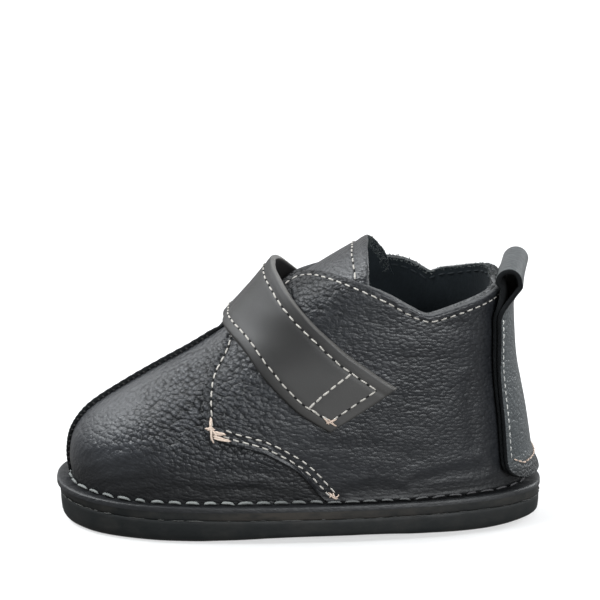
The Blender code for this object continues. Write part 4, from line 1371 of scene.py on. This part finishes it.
# %% Dried cement along the joint of the sole
CEMENT_SMEARS, JOINT_INSET, JOINT_UNEVEN = 64, 0.2, 0.07
middle = np.linspace(-np.pi, np.pi, CEMENT_SMEARS, endpoint=False) + dice.uniform(-0.04, 0.04, CEMENT_SMEARS)
spans = dice.uniform(0.004, 0.06, CEMENT_SMEARS)
angle = middle[:, None] + spans[:, None] * STITCH_STEPS
x, y = sole_outline(angle, JOINT_INSET + toe_tuck(angle))
z = MIDSOLE_BASE - JOINT_INSET + toe_spring(x) + dice.normal(0, JOINT_UNEVEN, angle.shape)
joint = np.stack([x, y, z], axis=-1)
radii = dice.uniform(0.07, 0.17, CEMENT_SMEARS)[:, None] * STITCH_TAPER
tubes("joint_cement", joint, np.broadcast_to(UPWARD, joint.shape), radii, CEMENT)

# %% Whipping along the toe seam
WHIP_PITCH, WHIP_SLANT, WHIP_UNEVEN, WHIP_RADIUS = 1.65, 0.55, 0.12, 0.24
height = np.linspace(SEAM_FOOT_HEIGHT + 1.0, SEAM_TOP_HEIGHT - 2.5, 400)
whipping = []
for side in SIDES:
    crown = wall(seam_angle(side * 0.75, height), height, 0.62)
    lip = wall(seam_angle(side * 1.9, height), height, -0.05)
    normal = outward(seam_angle(side * 1.0, height), height)
    at = np.arange(1.0, path_length(crown) - 1, WHIP_PITCH)
    at = at + dice.normal(0, WHIP_UNEVEN, len(at))
    start, out = resample(crown, normal, at=at)
    stop = resample(crown, lip, at=np.minimum(at + WHIP_SLANT, path_length(crown)))[1]
    bow = 0.14 * np.sin(np.pi * STITCH_SHARE) - 0.05
    paths = start[:, None] + (stop - start)[:, None] * STITCH_SHARE[:, None] + out[:, None] * bow[:, None]
    radii = np.broadcast_to(WHIP_RADIUS * STITCH_TAPER, paths.shape[:2])
    whipping.append((paths, np.broadcast_to(out[:, None], paths.shape), radii))
sew("toe_seam_whipping", whipping, BLACK_THREAD_AND_HOLE_SHADE)

# %% [markdown]
# ## Floor, light and camera
# The boot stands on a plain white table under a large soft light from above and the left, with a weaker
# one behind the heel. A white table would light the walls evenly from below and wash out the grain, so the
# table is kept out of the boot's reflections and a dimmer glow from below stands for it. The camera stands
# back with a long lens, a little above the boot, on its inner side.

# %% Table and lights
mesh = bpy.data.meshes.new("table_top")
mesh.from_pydata([(-12, -12, 0), (12, -12, 0), (12, 12, 0), (-12, 12, 0)], [], [(0, 1, 2, 3)])
table_top = bpy.data.objects.new("table_top", mesh)
bpy.context.scene.collection.objects.link(table_top)
white = new_finish("white_table")
white.set("Base Color", (0.28, 0.28, 0.28))
white.set("Emission Color", (1.0, 1.0, 1.0))
white.set("Emission Strength", 0.55)
white.set("Roughness", 0.9)
mesh.materials.append(white.look)
table_top.visible_diffuse = table_top.visible_glossy = table_top.visible_shadow = False


def soft_light(name, place, aim, size, watts):
    lamp = bpy.data.lights.new(name, "AREA")
    lamp.shape, lamp.energy, lamp.color = "RECTANGLE", watts, (0.95, 0.98, 1.0)
    lamp.size, lamp.size_y = size
    holder = bpy.data.objects.new(name, lamp)
    bpy.context.scene.collection.objects.link(holder)
    holder.location = place
    direction = holder.location.copy()
    direction.xyz = np.array(aim) - np.array(place)
    holder.rotation_euler = direction.to_track_quat("-Z", "Y").to_euler()


soft_light("window_light", (-0.84, 0.58, 0.82), (0.0, 0.0, 0.03), (1.15, 0.7), 10.5)
soft_light("sky_light", (-0.88, -0.20, 1.05), (0.0, 0.0, 0.03), (0.6, 0.5), 27.0)
soft_light("front_sky", (0.5, -1.35, 0.62), (0.0, 0.0, 0.03), (0.9, 0.4), 19.0)
soft_light("front_light", (0.9, -1.3, 0.4), (0.0, 0.0, 0.04), (1.0, 0.8), 15.0)
soft_light("room_light", (0.1, 0.5, 1.4), (0.0, 0.0, 0.03), (1.2, 0.8), 12.0)
soft_light("heel_light", (1.0, 0.45, 0.6), (0.03, 0.0, 0.04), (0.6, 0.6), 16.0)
world = bpy.data.worlds.new("studio_air")
bpy.context.scene.world = world
air = Recipe(world)
heading = air.coords.node.outputs["Generated"]
white_wall = air.spread(air.axis(heading, "Y"), -0.35, 0.6, 0.02, 0.6)
floor_glow = air.spread(air.axis(heading, "Z"), -0.9, -0.2, 0.22, 0.45)
above_floor = air.spread(air.axis(heading, "Z"), -0.04, 0.04)
background = air.tree.nodes["Background"].inputs
air.join(background["Color"], (1.0, 1.0, 1.0))
rise = air.times(air.minus(white_wall, floor_glow), above_floor)
air.join(background["Strength"], air.plus(rise, floor_glow))
bpy.context.scene.view_settings.view_transform = "Standard"
print("lights:", len(bpy.data.lights))

# %% Camera
ELEVATION, DISTANCE, SENSOR_WIDTH = np.radians(15.4), 0.80, 36.0
PHOTO_PIXELS, PIXELS_PER_MM = 600, 3.71
TARGET = np.array([0.0003, 0.0, 0.0601])
lens = bpy.data.cameras.new("camera")
lens.sensor_width = SENSOR_WIDTH
lens.lens = SENSOR_WIDTH * DISTANCE / (PHOTO_PIXELS * MM / PIXELS_PER_MM)
camera = bpy.data.objects.new("camera", lens)
bpy.context.scene.collection.objects.link(camera)
camera.location = TARGET + DISTANCE * np.array([0.0, -np.cos(ELEVATION), np.sin(ELEVATION)])
camera.rotation_euler = (np.pi / 2 - ELEVATION, 0.0, 0.0)
lens.clip_start, lens.clip_end = 0.01, 40.0
bpy.context.scene.camera = camera
print("lens:", round(lens.lens, 1), "mm")

# %% [markdown]
# ## Size
# The dressed boot is made to stay within the solids' box, apart from a small allowance for soft leather.
